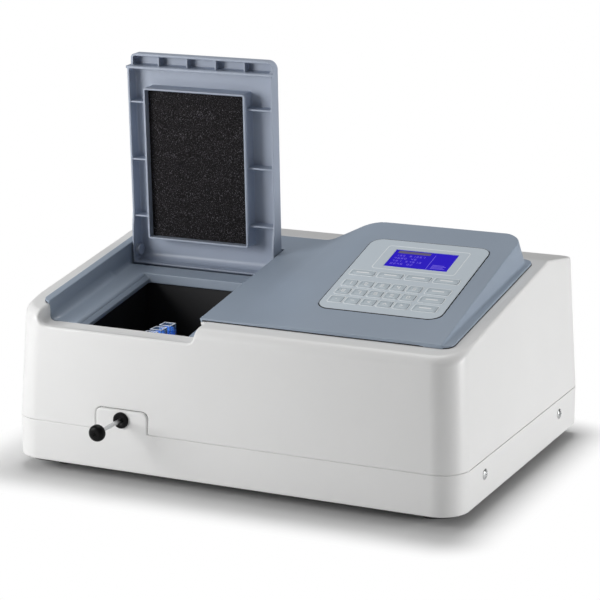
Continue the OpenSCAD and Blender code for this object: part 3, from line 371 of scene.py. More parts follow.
def solid(name, field, low, high, step, keep, matrix=None):
    """Object whose thinned mesh follows a field in millimetres, placed by a matrix in metres."""
    step = step * COARSE
    points, quads = net(field, np.array(low), np.array(high), step)
    mesh = bpy.data.meshes.new(name)
    mesh.from_pydata(settle(field, points, step).tolist(), [], quads.tolist())
    obj = add_object(name, mesh)
    thin = obj.modifiers.new("thin", "DECIMATE")
    thin.ratio = keep
    bpy.context.view_layer.update()
    slim = bpy.data.meshes.new_from_object(obj.evaluated_get(bpy.context.evaluated_depsgraph_get()))
    obj.modifiers.clear()
    obj.data = slim
    bpy.data.meshes.remove(mesh)
    slim.name = name
    mesh = slim
    flat = np.zeros(len(mesh.vertices) * 3)
    mesh.vertices.foreach_get("co", flat)
    points = settle(field, flat.reshape(-1, 3), step / 2)
    normals = slopes(field, points)
    normals /= np.maximum(np.linalg.norm(normals, axis=1), 1e-6)[:, None]
    mesh.vertices.foreach_set("co", (points * MM).ravel())
    mesh.polygons.foreach_set("use_smooth", np.ones(len(mesh.polygons), bool))
    if matrix is not None:
        mesh.transform(matrix)
        normals = normals @ np.array(matrix.to_3x3()).T
    mesh.update()
    mesh.normals_split_custom_set_from_vertices(normals.tolist())
    return obj


# Meshes from rings of points

def oblong(x, y, w, d, r, z, count=6):
    """Ring round a rectangle with round corners, at height z."""
    turn = np.linspace(0, math.pi / 2, count + 1)
    ring = []
    for quarter, (sx, sy) in enumerate(((1, 1), (-1, 1), (-1, -1), (1, -1))):
        angle = turn + quarter * math.pi / 2
        ring.append(np.stack([
            x + sx * (w / 2 - r) + r * np.cos(angle), y + sy * (d / 2 - r) + r * np.sin(angle),
            np.full(len(angle), z)], axis=1))
    return np.concatenate(ring)


def circle(r, z, count=64):
    """Ring of radius r round the z axis."""
    angle = np.linspace(0, 2 * math.pi, count, endpoint=False)
    return np.stack([r * np.cos(angle), r * np.sin(angle), np.full(count, z)], axis=1)


def skin(rings, look=0, looks=None):
    """Closed shell through rings of equal count: points, faces, and each face's material number."""
    count = len(rings[0])
    looks = looks or [look] * len(rings)
    faces, paints = [], []
    for i in range(len(rings) - 1):
        for j in range(count):
            k = (j + 1) % count
            faces.append((i * count + j, i * count + k, (i + 1) * count + k, (i + 1) * count + j))
            paints.append(looks[i])
    last = (len(rings) - 1) * count
    faces.append(tuple(reversed(range(count))))
    faces.append(tuple(range(last, last + count)))
    paints += [looks[0], looks[-1]]
    return np.concatenate(rings), faces, paints


def loop(rings):
    """Closed band through rings of equal count, back to the first."""
    points, faces, paints = skin(rings + rings[:1])
    total = len(rings[0]) * len(rings)
    return points[:total], [tuple(i % total for i in face) for face in faces[:-2]], paints[:-2]


def band(x, y, w, d, r, profile):
    """Closed band round a rectangle with round corners, from offsets and heights."""
    return loop([oblong(x, y, w + 2 * out, d + 2 * out, r + out, z) for out, z in profile])


def lathe(profile):
    """Closed shell turned round the z axis, from radii and heights."""
    return skin([circle(max(r, 0.01), z) for r, z in profile])


def bar(start, end, width, z0, z1, look=0):
    """Flat stroke from one point to another."""
    a, b = np.array(start, float), np.array(end, float)
    along = (b - a) / np.linalg.norm(b - a) * width / 2
    side = np.array([-along[1], along[0]])
    corners = np.array([a - along - side, b + along - side, b + along + side, a - along + side])
    return skin([np.column_stack([corners, np.full(4, z)]) for z in (z0, z1)], look)


def shape(name, shells, matrix=None, sharp=38):
    """Object made of closed shells in millimetres, placed by a matrix in metres."""
    points, faces, paints = [], [], []
    for at, skin_faces, skin_paints in shells:
        offset = sum(len(p) for p in points)
        points.append(at)
        faces += [tuple(offset + i for i in face) for face in skin_faces]
        paints += skin_paints
    mesh = bpy.data.meshes.new(name)
    mesh.from_pydata((np.concatenate(points) * MM).tolist(), [], faces)
    mesh.polygons.foreach_set("use_smooth", np.ones(len(faces), bool))
    mesh.polygons.foreach_set("material_index", np.array(paints, np.int32))
    mesh.set_sharp_from_angle(angle=math.radians(sharp))
    if matrix is not None:
        mesh.transform(matrix)
    mesh.update()
    return add_object(name, mesh)


def rounded(r, z, radius, high, steps=5):
    """Profile points of a rounded edge that ends at radius r and height z."""
    turn = np.linspace(0, math.pi / 2, steps + 1)
    if high:
        return [(r - radius + radius * math.cos(t), z - radius + radius * math.sin(t)) for t in turn]
    return [(r - radius + radius * math.sin(t), z + radius - radius * math.cos(t)) for t in turn]


# Casing

def casing(x, y, z):
    """The closed outer form of both casings."""
    lean = np.maximum(z - SEAM, 0) * math.tan(math.radians(DRAFT))
    corner = np.where(y < (FRONT + REAR) / 2, FRONT_R, REAR_R)
    side = rect(x, y, LEFT + lean, RIGHT - lean, FRONT + lean, REAR - lean, corner)
    front_up = on_top(y, z)[1]
    crest_z = TOP_FRONT + CREST_BACK * math.tan(math.radians(TOP_SLOPE))
    rear = math.radians(REAR_SLOPE)
    rear_up = (z - crest_z) * math.cos(rear) + (y - FRONT - CREST_BACK) * math.sin(rear)
    edge = SIDE_EDGE_R + (EDGE_R - SIDE_EDGE_R) * (1 - step_up(y, FRONT + EDGE_R, FRONT + 2 * FRONT_R))
    return meet(side * math.cos(math.radians(DRAFT)), ease(front_up, rear_up, CREST_EASE), edge)


def seam_edge(y):
    """Rounding along the seam, which closes up away from the front."""
    return SIDE_SEAM_R + (SEAM_R - SIDE_SEAM_R) * (1 - step_up(y, FRONT + FRONT_R / 2, FRONT + 2 * FRONT_R))


def tab(x, z, grow):
    """The raised tab in the front, as an outline."""
    half = TAB_W / 2 + grow
    return rect(x, z, ROD_X - half, ROD_X + half, SEAM - 5 * TAB_R, TAB_TOP + grow, TAB_R + grow)


def deck(x, along, inset, r):
    """The cover's edge, as an outline on the sloped top."""
    return rect(x, along, COVER_X0 + inset, COVER_X1 - inset, COVER_A0 + inset, COVER_A1 - inset, r)


def window(x, z):
    """The rear opening, as an outline."""
    return rect(x, z, -WINDOW_HALF, WINDOW_HALF, WINDOW_Z0, WINDOW_Z1, TAB_R)


def notch(x, z):
    """The lid's gap in the casing's front, as an outline."""
    left = rect(x, z, NOTCH_X0, NOTCH_X1 + FAR, NOTCH_Z, NOTCH_Z + FAR, NOTCH_LEFT_R)
    slant = math.radians(NOTCH_SLANT)
    right = (x - NOTCH_X1) * math.cos(slant) - (z - NOTCH_Z) * math.sin(slant)
    return meet(left, right, NOTCH_RIGHT_R)


def trough_section(x, up, r):
    """The lid's trough, as an outline across its length."""
    return meet(meet(TROUGH_X0 - x, -TROUGH_DEPTH - up, r), x - TROUGH_X1, TROUGH_RIGHT_R)


def upper_casing(x, y, z):
    outer = casing(x, y, z)
    shell = meet(outer, -(outer + SHELL_T))
    along, up = on_top(y, z)
    lap = DECK_LAP
    hole = meet(deck(x, along, lap, DECK_R - lap + 1), -2 * LIP_H - up)
    gap = meet(notch(x, z), along - COVER_A0)
    lid_room = trough_section(x, up, TROUGH_END_R)
    lining = meet(lid_room - LINING_T, along - LINING_BACK)
    lining = join(lining, gap - LINING_T)
    lining = meet(lining, outer + CUT_R)
    lid_room = meet(lid_room, slab(along, TROUGH_FRONT, COVER_A0 + 2 * lap))
    edge = CUT_R + (NOTCH_EDGE_R - CUT_R) * (1 - step_up(along, LINING_BACK, COVER_A0 + lap))
    wall_room = trough_section(x, up, TROUGH_END_R) - SKIN - FIT_GAP
    wall_room = meet(wall_room, slab(along, LINING_BACK, COVER_A0 + 2 * lap))
    lid_room = join(lid_room, wall_room)
    shell = cut(join(shell, lining), join(hole, join(gap, lid_room)), edge)
    shell = cut(shell, meet(tab(x, z, TAB_GAP), y - FRONT - 4 * WALL), TAB_EDGE_R)
    shell = cut(shell, meet(window(x, z), REAR - 5 * WALL - y), CUT_R)
    return meet(shell, SEAM - z, seam_edge(y))


def lower_casing(x, y, z):
    outer = casing(x, y, np.minimum(z, SEAM))
    band = meet(meet(outer, BASE - z, 2 * CUT_R), z - SEAM, seam_edge(y))
    hollow = meet(outer + WALL, BASE + WALL - z)
    hollow = join(hollow, outer + FLANGE_W)
    shell = meet(band, -hollow)
    plate = meet(tab(x, z, 0), FRONT - y, TAB_EDGE_R)
    plate = meet(plate, meet(y - FRONT - WALL, SEAM - TAB_R - z))
    shell = join(shell, plate)
    bore = np.hypot(x - ROD_X, z - ROD_Z) - BUSH_BORE
    shell = cut(shell, meet(bore, y - FRONT - 4 * WALL), BORE_EDGE_R)
    return cut(shell, meet(window(x, z), REAR - 4 * WALL - y), CUT_R)


# Top cover, in the frame of the sloped top

def console_frame(along, up):
    """Distance along the console's slope, and height above it."""
    turn = math.radians(CONSOLE_SLOPE - TOP_SLOPE)
    rise = CONSOLE_Z - TOP_FRONT
    a = along - rise * TOP_SIN
    n = up - rise * TOP_COS
    return a * math.cos(turn) + n * math.sin(turn), n * math.cos(turn) - a * math.sin(turn)


def console(x, along, up):
    """The console, and the ramp that leads up to it from the deck."""
    v, high = console_frame(along, up)
    right = leaning(x - CONSOLE_X1, -high, SIDE_RUN)
    back = leaning(v - CONSOLE_BACK, -high, BACK_RUN)
    share = (x - RAMP_FOOT) / (RAMP_END - RAMP_FOOT)
    share = -ease(-ease(share, 0 * share, FOOT_EASE), 0 * share - 1, RIDGE_EASE)
    rise = up - DECK_T - high / math.cos(math.radians(CONSOLE_SLOPE - TOP_SLOPE))
    top = (up - DECK_T - np.maximum(rise, 0) * share) / math.hypot(1, RAMP_PITCH)
    return meet(meet(right, back, CONSOLE_R), top, RAMP_EDGE_R)


def panel(x, v, grow):
    """The keypad panel, as an outline."""
    return rect(x, v, PANEL_X0 - grow, PANEL_X1 + grow, PANEL_V0 - grow, PANEL_V1 + grow, PANEL_R + grow)


def trough_case(x, along, up):
    """Walls and floor under the lid, before they are hollowed."""
    x0, x1, back = TROUGH_X0 - SKIN, TROUGH_X1 + SKIN, TROUGH_BACK + SKIN
    case = rect(x, along, x0, x1, LINING_BACK, back, 0)
    case = meet(case, slab(up, -TROUGH_DEPTH - SKIN, FIT_GAP))
    well = rect(x, along, x0, x1, WELL_FRONT - SKIN, back, 0)
    case = join(case, meet(well, slab(up, -WELL_DEPTH - SKIN, -TROUGH_DEPTH)))
    skirt_x0 = MOUTH_X0 + BEVEL_LEDGE
    skirt = rect(x, along, skirt_x0, MOUTH_X1 + SKIRT_T, MOUTH_A0, MOUTH_A1 + SKIRT_T, 0)
    return join(case, meet(skirt, slab(up, -TROUGH_DEPTH - SKIRT_H, -TROUGH_DEPTH)))


def trough_room(x, along, up):
    """Space that the lid closes into, with the well that its tail turns in."""
    middle = slab(along, LINING_BACK, ROUND_BACK)
    room = trough_section(x, up, TROUGH_R + (TROUGH_END_R - TROUGH_R) * step_up(middle, -ROUND_FADE, 0))
    room = meet(room, along - TROUGH_BACK, TROUGH_BACK_R)
    well = rect(x, along, TROUGH_X0, TROUGH_X1, WELL_FRONT, TROUGH_BACK, 1)
    return join(room, meet(well, slab(up, -WELL_DEPTH, 0)))


def mouth(x, along, up):
    """Opening into the sample chamber, with sides that run in as they go down."""
    depth = np.clip(-TROUGH_DEPTH - up, 0, SKIRT_H)
    left = leaning(MOUTH_X0 - x, -np.minimum(depth, BEVEL_H), BEVEL_RUN)
    sides = meet(left, x - MOUTH_X1, 0)
    ends = meet(MOUTH_A0 - along, leaning(along - MOUTH_A1, -depth, SKIRT_RUN))
    return meet(meet(sides, ends, MOUTH_R), up)


def top_cover(x, along, up):
    outline = deck(x, along, 0, DECK_R)
    hump = meet(outline, console(x, along, up), DECK_EDGE_R)
    fillet = FILLET_LEAST + WALL_FILLET * step_up(x, CONSOLE_X1 - FILLET_X[0], CONSOLE_X1 - FILLET_X[1])
    body = join(meet(outline, up - DECK_T, DECK_EDGE_R), hump, fillet)
    body = meet(body, meet(-up, -(hump + SKIN)))
    rim = deck(x, along, DECK_LAP + FIT_GAP, DECK_R - DECK_LAP)
    body = join(body, meet(meet(rim, -(rim + SKIN)), slab(up, -LIP_H, FIT_GAP)))
    body = join(body, trough_case(x, along, up))
    body = cut(body, trough_room(x, along, up), INNER_R)
    body = cut(body, mouth(x, along, up), MOUTH_EDGE_R)
    v, high = console_frame(along, up)
    seat = PANEL_TOP - PANEL_T
    body = cut(body, meet(panel(x, v, PANEL_GAP), seat - high), SEAT_R)
    return cut(body, meet(panel(x, v, -PANEL_LEDGE), -4 * SKIN - high))


# Lid, closed about its hinge: u runs forward from the hinge, w up

HALF = LID_H / 2


def lid_outside(x, u, w):
    """The lid's body, and the narrower lip in front of its baffle."""
    body = rect(x, u, LID_X0, LID_X1, -LID_TAIL, LID_BAFFLE + LID_CORNER_R, TAIL_RIM_R)
    body = meet(meet(body, w - HALF, LID_EDGE_R), u - LID_BAFFLE)
    tail = meet(meet(-LID_TAIL - u, w - HALF, TAIL_R), -HALF - w, TAIL_RIM_R)
    body = meet(body, tail)
    lip = rect(x, u, LIP_X0 - FAR, LID_X1, 0, LID_FRONT, LID_CORNER_R)
    lip = meet(lip, rect(x, u, LIP_X0, LID_X1 + FAR, 0, LID_FRONT, LIP_CORNER_R))
    lip = meet(lip, w - HALF, LID_EDGE_R)
    lip = meet(lip, meet(LIP_X0 - x, HALF - LID_LIP - w, LIP_R))
    body = meet(meet(body, -HALF - w, LID_FINE_R), meet(LID_X0 - x, -HALF - w, LOW_EDGE_R))
    return join(body, meet(lip, LID_BAFFLE - 1 - u))


def lid_inside(x, u, w):
    """What is hollowed out of the lid."""
    floor = w - HALF + LID_WALL
    back = TAIL_WALL - LID_TAIL
    main = rect(x, u, LID_X0 + LID_WALL, LID_X1 - LID_WALL, back, LID_BAFFLE - LID_WALL, HOLLOW_R)
    main = meet(main, floor, LID_EDGE_R)
    main = meet(main, meet(back - u, floor, TAIL_R - 1))
    lip_x = LIP_X0 + LID_WALL
    pocket_r = LIP_CORNER_R - LID_WALL
    pocket = rect(x, u, lip_x, LID_X1 - LID_WALL, LID_BAFFLE, LID_FRONT - LID_WALL, pocket_r)
    pocket = meet(pocket, floor, POCKET_R)
    pocket = meet(pocket, meet(lip_x - x, HALF - LID_LIP - w, LIP_R))
    return join(main, pocket)


def side_relief(x, u, w):
    """What the side walls lack below the baffle and the foam's frame."""
    flare = 1 - step_up(-u, -LID_FLARE[0], -LID_FLARE[1])
    low = HALF - LID_SIDE - (LID_H - LID_SIDE) * (1 - flare)
    outer = join(x - FOAM_X0 + FRAME_T + 1, FOAM_X0 + FOAM_W + FRAME_T + 1 - x)
    return meet(meet(outer, u - LID_BAFFLE + LID_WALL), w - low)


def lid(x, y, w):
    u = -y
    body = cut(lid_outside(x, u, w), lid_inside(x, u, w), LID_FINE_R)
    body = cut(body, side_relief(x, u, w), LID_FINE_R)
    pad = rect(x, u, FOAM_X0, FOAM_X0 + FOAM_W, FOAM_U0, FOAM_U0 + FOAM_L, LID_FINE_R)
    ring = meet(meet(pad - FRAME_T, -pad, RIB_EDGE_R), slab(w, -HALF, HALF - 1), RIB_EDGE_R)
    body = join(body, ring, 1.0)
    spans = join(slab(x, LID_X0 + 1, FOAM_X0 - 1), slab(x, FOAM_X0 + FOAM_W + 1, LID_X1 - 1))
    for place in RIB_PLACES:
        middle = FOAM_U0 + place * FOAM_L
        rib = slab(u, middle - RIB_T / 2, middle + RIB_T / 2)
        rib = meet(rib, slab(w, HALF - LID_SIDE + LID_FINE_R, HALF - 1), RIB_EDGE_R)
        body = join(body, meet(rib, spans), RIB_FILLET)
    bay = (LID_X1 - LIP_X0) / LID_BAYS
    for i in range(1, LID_BAYS):
        rib = slab(x, LIP_X0 + i * bay - RIB_T / 2, LIP_X0 + i * bay + RIB_T / 2)
        rib = meet(rib, slab(w, HALF - LID_LIP + 1, HALF - 1), RIB_EDGE_R)
        body = join(body, meet(rib, slab(u, LID_BAFFLE - 1, LID_FRONT - 1)), RIB_FILLET)
    reach = LID_WALL + BOSS_L
    for start, end in ((LID_X0 + 1, LID_X0 + reach), (LID_X1 - reach, LID_X1 - 1)):
        boss = meet(np.hypot(u, w) - BOSS_R, slab(x, start, end), RIB_FILLET)
        body = join(body, boss, LID_FINE_R)
    return body


# Screw head with a cross recess, its axis along z

SCREW_R = 5.2
SCREW_H = 2.1
CROSS_W = 1.2
CROSS_L = 6.0
CROSS_Z = 0.7
SCREW_CURVE = 0.05
SCREW_EDGE_R = 0.6
CROSS_EDGE_R = 0.2


def screw_head(x, y, z):
    r = np.hypot(x, y)
    dome = meet(r - SCREW_R, z - SCREW_H + SCREW_CURVE * r * r, SCREW_EDGE_R)
    arm = join(
        meet(np.abs(x) - CROSS_L / 2, np.abs(y) - CROSS_W / 2),
        meet(np.abs(y) - CROSS_L / 2, np.abs(x) - CROSS_W / 2))
    return cut(meet(dome, -z), meet(arm, CROSS_Z - z), CROSS_EDGE_R)


# Materials

LOOKS = {}


def tree_of(name):
    """New material, with its nodes, its links and its main shader."""
    mat = bpy.data.materials.new(name)
    LOOKS[name] = mat
    mat.use_nodes = True
    tree = mat.node_tree
    return mat, tree.nodes, tree.links.new, tree.nodes["Principled BSDF"]


def set_sockets(node, sockets):
    for socket, value in sockets.items():
        node.inputs[socket.replace("_", " ")].default_value = value


def add_node(made, kind, **sockets):
    """New shader node with values on its sockets."""
    node = made.new("ShaderNode" + kind)
    set_sockets(node, sockets)
    return node


def wire(link, *pairs):
    """Links, each from a node's output to a node's input."""
    for source, output, target, entry in pairs:
        link(source.outputs[output], target.inputs[entry])


def ramp_between(made, low, high, start=0.3, end=0.7):
    """Colour ramp from one colour to another."""
    ramp = add_node(made, "ValToRGB")
    for stop, place, colour in zip(ramp.color_ramp.elements, (start, end), (low, high)):
        stop.position = place
        stop.color = (*colour, 1)
    return ramp


def shade(colour, by):
    return [min(max(c * (1 + by), 0), 1) for c in colour]


def finish_of(
        name, colour, rough, grain=1500.0, bump=0.05, mottle=0.04, stretch=(1, 1, 1), spread=0.06, **sockets):
    """Material with a mottled colour, an uneven gloss and a grained surface."""
    mat, made, link, shader = tree_of(name)
    where = add_node(made, "TexCoord")
    cloud = add_node(made, "TexNoise", Scale=9, Detail=6)
    ramp = ramp_between(made, shade(colour, -mottle), shade(colour, mottle))
    turned = add_node(made, "Mapping", Scale=stretch)
    fine = add_node(made, "TexNoise", Scale=grain, Detail=3)
    gloss = add_node(made, "MapRange", To_Min=max(rough - spread, 0.02), To_Max=min(rough + spread, 1))
    relief = add_node(made, "Bump", Strength=bump, Distance=0.0003)
    wire(
        link, (where, "Object", cloud, "Vector"), (where, "Object", turned, "Vector"),
        (turned, "Vector", fine, "Vector"), (cloud, "Fac", ramp, "Fac"),
        (ramp, "Color", shader, "Base Color"), (fine, "Fac", gloss, "Value"),
        (gloss, "Result", shader, "Roughness"), (fine, "Fac", relief, "Height"),
        (relief, "Normal", shader, "Normal"))
    set_sockets(shader, sockets)
    return mat


def brushed(name, colour, rough, stretch):
    """Metal with fine scratches along one direction."""
    return finish_of(name, colour, rough, 1.0, 0.25, 0.05, stretch, 0.12, Metallic=1.0)


def foam_of(name, colour):
    """Open-celled foam: dark cells with paler walls and a scatter of pale specks."""
    mat, made, link, shader = tree_of(name)
    where = add_node(made, "TexCoord")
    cells = add_node(made, "TexVoronoi", Scale=900)
    speck = add_node(made, "TexNoise", Scale=1150, Detail=2)
    walls = ramp_between(made, shade(colour, -0.6), shade(colour, 0.9), 0.1, 0.75)
    # Pale specks scattered at random over the foam's cells.
    pale_specks = ramp_between(made, (0, 0, 0), (0.17, 0.16, 0.18), 0.56, 0.76)
    mix = add_node(made, "MixRGB", Fac=1)
    mix.blend_type = "ADD"
    relief = add_node(made, "Bump", Strength=0.9, Distance=0.0006)
    wire(
        link, (where, "Object", cells, "Vector"), (where, "Object", speck, "Vector"),
        (cells, "Distance", walls, "Fac"), (speck, "Fac", pale_specks, "Fac"), (walls, "Color", mix, "Color1"),
        (pale_specks, "Color", mix, "Color2"), (mix, "Color", shader, "Base Color"),
        (cells, "Distance", relief, "Height"), (relief, "Normal", shader, "Normal"))
    set_sockets(shader, {"Roughness": 0.95, "Specular IOR Level": 0.2})
    return mat


def screen_of(name, colour, pixel=0.0004):
    """Lit blue display with a faint grid of pixels."""
    mat, made, link, shader = tree_of(name)
    where = add_node(made, "TexCoord")
    level = add_node(made, "Mapping", Rotation=(math.radians(-CONSOLE_SLOPE), 0, 0))
    grid = add_node(
        made, "TexBrick", Color1=(*colour, 1), Color2=(*shade(colour, 0.06), 1),
        Mortar=(*shade(colour, -0.25), 1), Scale=1, Brick_Width=pixel, Row_Height=pixel,
        Mortar_Size=pixel / 12)
    grid.offset = 0
    wire(
        link, (where, "Object", level, "Vector"), (level, "Vector", grid, "Vector"),
        (grid, "Color", shader, "Base Color"))
    set_sockets(shader, {
        "Roughness": 0.4, "Emission Color": (0.014, 0.002, 0.46, 1), "Emission Strength": 1.0,
        "Specular IOR Level": 0.08})
    return mat


finish_of("white_plastic", (0.80, 0.80, 0.795), 0.38, bump=0.04, mottle=0.012)
finish_of("grey_plastic", (0.313, 0.374, 0.458), 0.35, bump=0.10)
finish_of("lid_plastic", (0.385, 0.435, 0.53), 0.38, bump=0.10)
overlay = finish_of("overlay_film", (0.56, 0.63, 0.69), 0.48, bump=0.06, mottle=0.02)
key_film = finish_of("key_film", (0.50, 0.57, 0.62), 0.45, bump=0.06, mottle=0.02)
key_rim = finish_of("key_rim", (0.80, 0.85, 0.88), 0.45, bump=0.06, mottle=0.02)
ink = finish_of("label_ink", (0.86, 0.88, 0.90), 0.55, bump=0.02)
screen_of("screen", (0.006, 0.003, 0.05))
screen_grey = finish_of("screen_bar", (0.13, 0.10, 0.19), 0.4, bump=0.0, mottle=0.05)
screen_mark = finish_of(
    "screen_mark", (0.06, 0.05, 0.12), 0.4, bump=0.0, mottle=0.05, Emission_Color=(0.12, 0.07, 0.62, 1),
    Emission_Strength=1.0)
finish_of("black_steel", (0.020, 0.020, 0.022), 0.5, 900, 0.25)
black_paint = finish_of("black_paint", (0.012, 0.012, 0.014), 0.6, 900, 0.25)
brushed("sheet_metal", (0.55, 0.56, 0.57), 0.40, (30, 30, 1800))
finish_of("cast_metal", (0.50, 0.51, 0.53), 0.5, 400, 0.3, 0.06, Metallic=1.0)
steel = brushed("steel", (0.66, 0.67, 0.68), 0.30, (2200, 60, 2200))
chrome = finish_of("chrome", (0.80, 0.81, 0.82), 0.14, 900, 0.02, 0.03, Metallic=1.0)
brushed("brass", (0.62, 0.44, 0.17), 0.32, (60, 1800, 1800))
finish_of("mirror", (0.9, 0.91, 0.92), 0.05, bump=0.0, mottle=0.02, spread=0.02, Metallic=1.0)
rubber = finish_of("rubber", (0.020, 0.020, 0.020), 0.8, 900, 0.3)
black_plastic = finish_of("black_plastic", (0.020, 0.020, 0.022), 0.45, 1200, 0.15)
knob_black = finish_of("knob_plastic", (0.005, 0.005, 0.0055), 0.34, 1200, 0.05, Specular_IOR_Level=0.12)
foam_of("foam", (0.007, 0.0065, 0.007))
clear = finish_of(
    "cell_clear", (0.62, 0.78, 0.97), 0.12, bump=0.0, mottle=0.02, spread=0.02, Transmission_Weight=0.82,
    IOR=1.25)
finish_of("circuit_board", (0.03, 0.16, 0.07), 0.4)
glass = finish_of(
    "cell_glass", (0.93, 0.96, 0.98), 0.10, bump=0.0, mottle=0.01, spread=0.02, Transmission_Weight=1.0,
    IOR=1.3)
frost = finish_of("ground_glass", (0.84, 0.88, 0.93), 0.6, bump=0.2, mottle=0.03)
# The liquid's blue glow is painted light, standing in for light through the cells; the liquid is no lamp.
finish_of(
    "liquid", (0.10, 0.38, 0.90), 0.2, bump=0.0, mottle=0.10, spread=0.02, Transmission_Weight=0.15, IOR=1.33,
    Emission_Color=(0.03, 0.17, 0.62, 1), Emission_Strength=0.45)

# Slots whose look has another name
LOOKS.update(overlay=overlay, key_plastic=key_film, lamp_glass=glass, cell_glass=clear)


def paint(obj, *looks):
    if obj.data.materials:
        obj.data.materials.clear()
    for look in looks:
        obj.data.materials.append(look)


slots = {}
for part in frame["record"]["subparts"]:
    slots[part["node"]] = part["material_slot"]
    paint(nodes[part["node"]], LOOKS[part["material_slot"]])


def dress(obj, node, *looks, body="housing"):
    """Own piece in place of a CAD node."""
    paint(obj, *(looks or (LOOKS[slots[node]],)))
    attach(obj, body)
    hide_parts(node)
    return obj


def extra(obj, *looks, body="housing"):
    """Own piece beside the CAD nodes."""
    paint(obj, *looks)
    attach(obj, body)


def soften(node, width=0.4, angle=35):
    """Small rounded edges on a CAD node."""
    bevel = nodes[node].modifiers.new("edges", "BEVEL")
    bevel.width = width * MM
    bevel.segments = 2
    bevel.limit_method = "ANGLE"
    bevel.angle_limit = math.radians(angle)


# Casings, cover and lid

MARGIN = 2.0
COVER_H = 32.0
for name, field, node in (
        ("upper_shell", upper_casing, "upper_casing"), ("lower_shell", lower_casing, "lower_casing")):
    low, high = box_mm(node)
    dress(solid(name, field, low - MARGIN, high + MARGIN, step=1.5, keep=0.25), node)
cover_low = (COVER_X0 - MARGIN, TROUGH_FRONT - MARGIN, -WELL_DEPTH - SKIN - MARGIN)
cover_high = (COVER_X1 + MARGIN, COVER_A1 + MARGIN, COVER_H)
dress(solid("cover", top_cover, cover_low, cover_high, step=1.0, keep=0.3, matrix=TOP_MATRIX), "top_cover")
lid_box_low = (LID_X0 - MARGIN, -LID_FRONT - MARGIN, -HALF - MARGIN)
lid_box_high = (LID_X1 + MARGIN, LID_TAIL + MARGIN, HALF + MARGIN)
lid_shell = solid("lid_shell", lid, lid_box_low, lid_box_high, step=0.8, keep=0.4, matrix=LID_MATRIX)
dress(lid_shell, "lid", body="lid")


# Dark rubber strips round the cover and the keypad panel: painted shade, put where only the shadow gap lies

SHADE_STRIP_T = 0.9
SHADE_STRIP_OUT = 0.35
SHADE_STRIP_EDGE = 0.05
SHADE_STRIP_ROUND = 0.2


def cover_shade_strip(x, along, up):
    """Dark strip of painted shade under the deck's edge, standing in for its shadow gap, open where the lid's
    trough runs out.
    """
    ring = deck(x, along, 0, DECK_R) - SHADE_STRIP_OUT
    ring = meet(meet(ring, -ring - 3 * SHADE_STRIP_OUT), slab(up, -SHADE_STRIP_OUT, SHADE_STRIP_T))
    return cut(ring, meet(slab(x, TROUGH_X0 - SKIN, TROUGH_X1 + SKIN), along - MOUTH_A1))


def panel_shade_strip():
    """Dark strip of painted shade in the gap round the keypad panel, standing in for its shadow, as a closed band.
    """
    x, v = (PANEL_X0 + PANEL_X1) / 2, (PANEL_V0 + PANEL_V1) / 2
    w, d = PANEL_X1 - PANEL_X0, PANEL_V1 - PANEL_V0
    low, high = PANEL_TOP - PANEL_T, PANEL_TOP + SHADE_STRIP_ROUND / 2
    side = high - SHADE_STRIP_ROUND
    profile = [(SHADE_STRIP_EDGE, low), (PANEL_GAP, low), (PANEL_GAP, side)]
    profile += [(PANEL_GAP / 2, high), (SHADE_STRIP_EDGE, side)]
    return band(x, v, w, d, PANEL_R, profile)


shade_strip_low = (COVER_X0 - MARGIN, COVER_A0 - MARGIN, -MARGIN)
shade_strip_high = (COVER_X1 + MARGIN, COVER_A1 + MARGIN, MARGIN)
extra(solid("cover_shade_strip", cover_shade_strip, shade_strip_low, shade_strip_high, step=0.6, keep=0.3, matrix=TOP_MATRIX), rubber)
extra(shape("panel_shade_strip", [panel_shade_strip()], CONSOLE_MATRIX), rubber)


# Foam pad in the lid

FOAM_STEP = 1.0
FOAM_CROWN = 0.9
FOAM_FADE = 6.0
FOAM_PITS = 900
FOAM_GAP = 0.3
FOAM_SEED = 11
FOAM_GRAIN = 0.08
PIT_DEPTH = (0.15, 0.5)
PIT_SPREAD = (0.6, 1.3)


def foam_pad():
    """Closed pad with a slight crown and small pits, in the lid's frame."""
    draw = np.random.default_rng(FOAM_SEED)
    across = np.arange(FOAM_X0 + FOAM_GAP, FOAM_X0 + FOAM_W, FOAM_STEP)
    along = np.arange(FOAM_U0 + FOAM_GAP, FOAM_U0 + FOAM_L, FOAM_STEP)
    x, u = np.meshgrid(across, along, indexing="ij")
    edge = np.minimum(np.minimum(x - across[0], across[-1] - x), np.minimum(u - along[0], along[-1] - u))
    face = FOAM_CROWN * (1 - np.exp(-edge / FOAM_FADE)) + draw.normal(0, FOAM_GRAIN, x.shape)
    for _ in range(FOAM_PITS):
        far = np.hypot(x - draw.uniform(across[0], across[-1]), u - draw.uniform(along[0], along[-1]))
        face = face - draw.uniform(*PIT_DEPTH) * np.exp(-(far / draw.uniform(*PIT_SPREAD)) ** 2)
    top = np.stack([x, -u, FOAM_SINK - HALF + FOAM_CROWN - face], axis=2).reshape(-1, 3)
    number = np.arange(x.size).reshape(x.shape)
    quads = np.stack([number[:-1, :-1], number[1:, :-1], number[1:, 1:], number[:-1, 1:]], axis=2)
    ring = np.concatenate([number[:-1, 0], number[-1, :-1], number[:0:-1, -1], number[0, :0:-1]]).tolist()
    base = top[ring].copy()
    base[:, 2] = HALF - LID_WALL
    lower = list(range(x.size, x.size + len(ring)))
    faces = [tuple(quad) for quad in quads.reshape(-1, 4).tolist()]
    faces += [(ring[i], ring[i - 1], lower[i - 1], lower[i]) for i in range(len(ring))]
    faces.append(tuple(lower))
    return np.concatenate([top, base]), faces, [0] * len(faces)


foam = dress(shape("foam_pad", [foam_pad()], LID_MATRIX), "lid_foam", body="lid")


# Keypad, along and above the console's slope

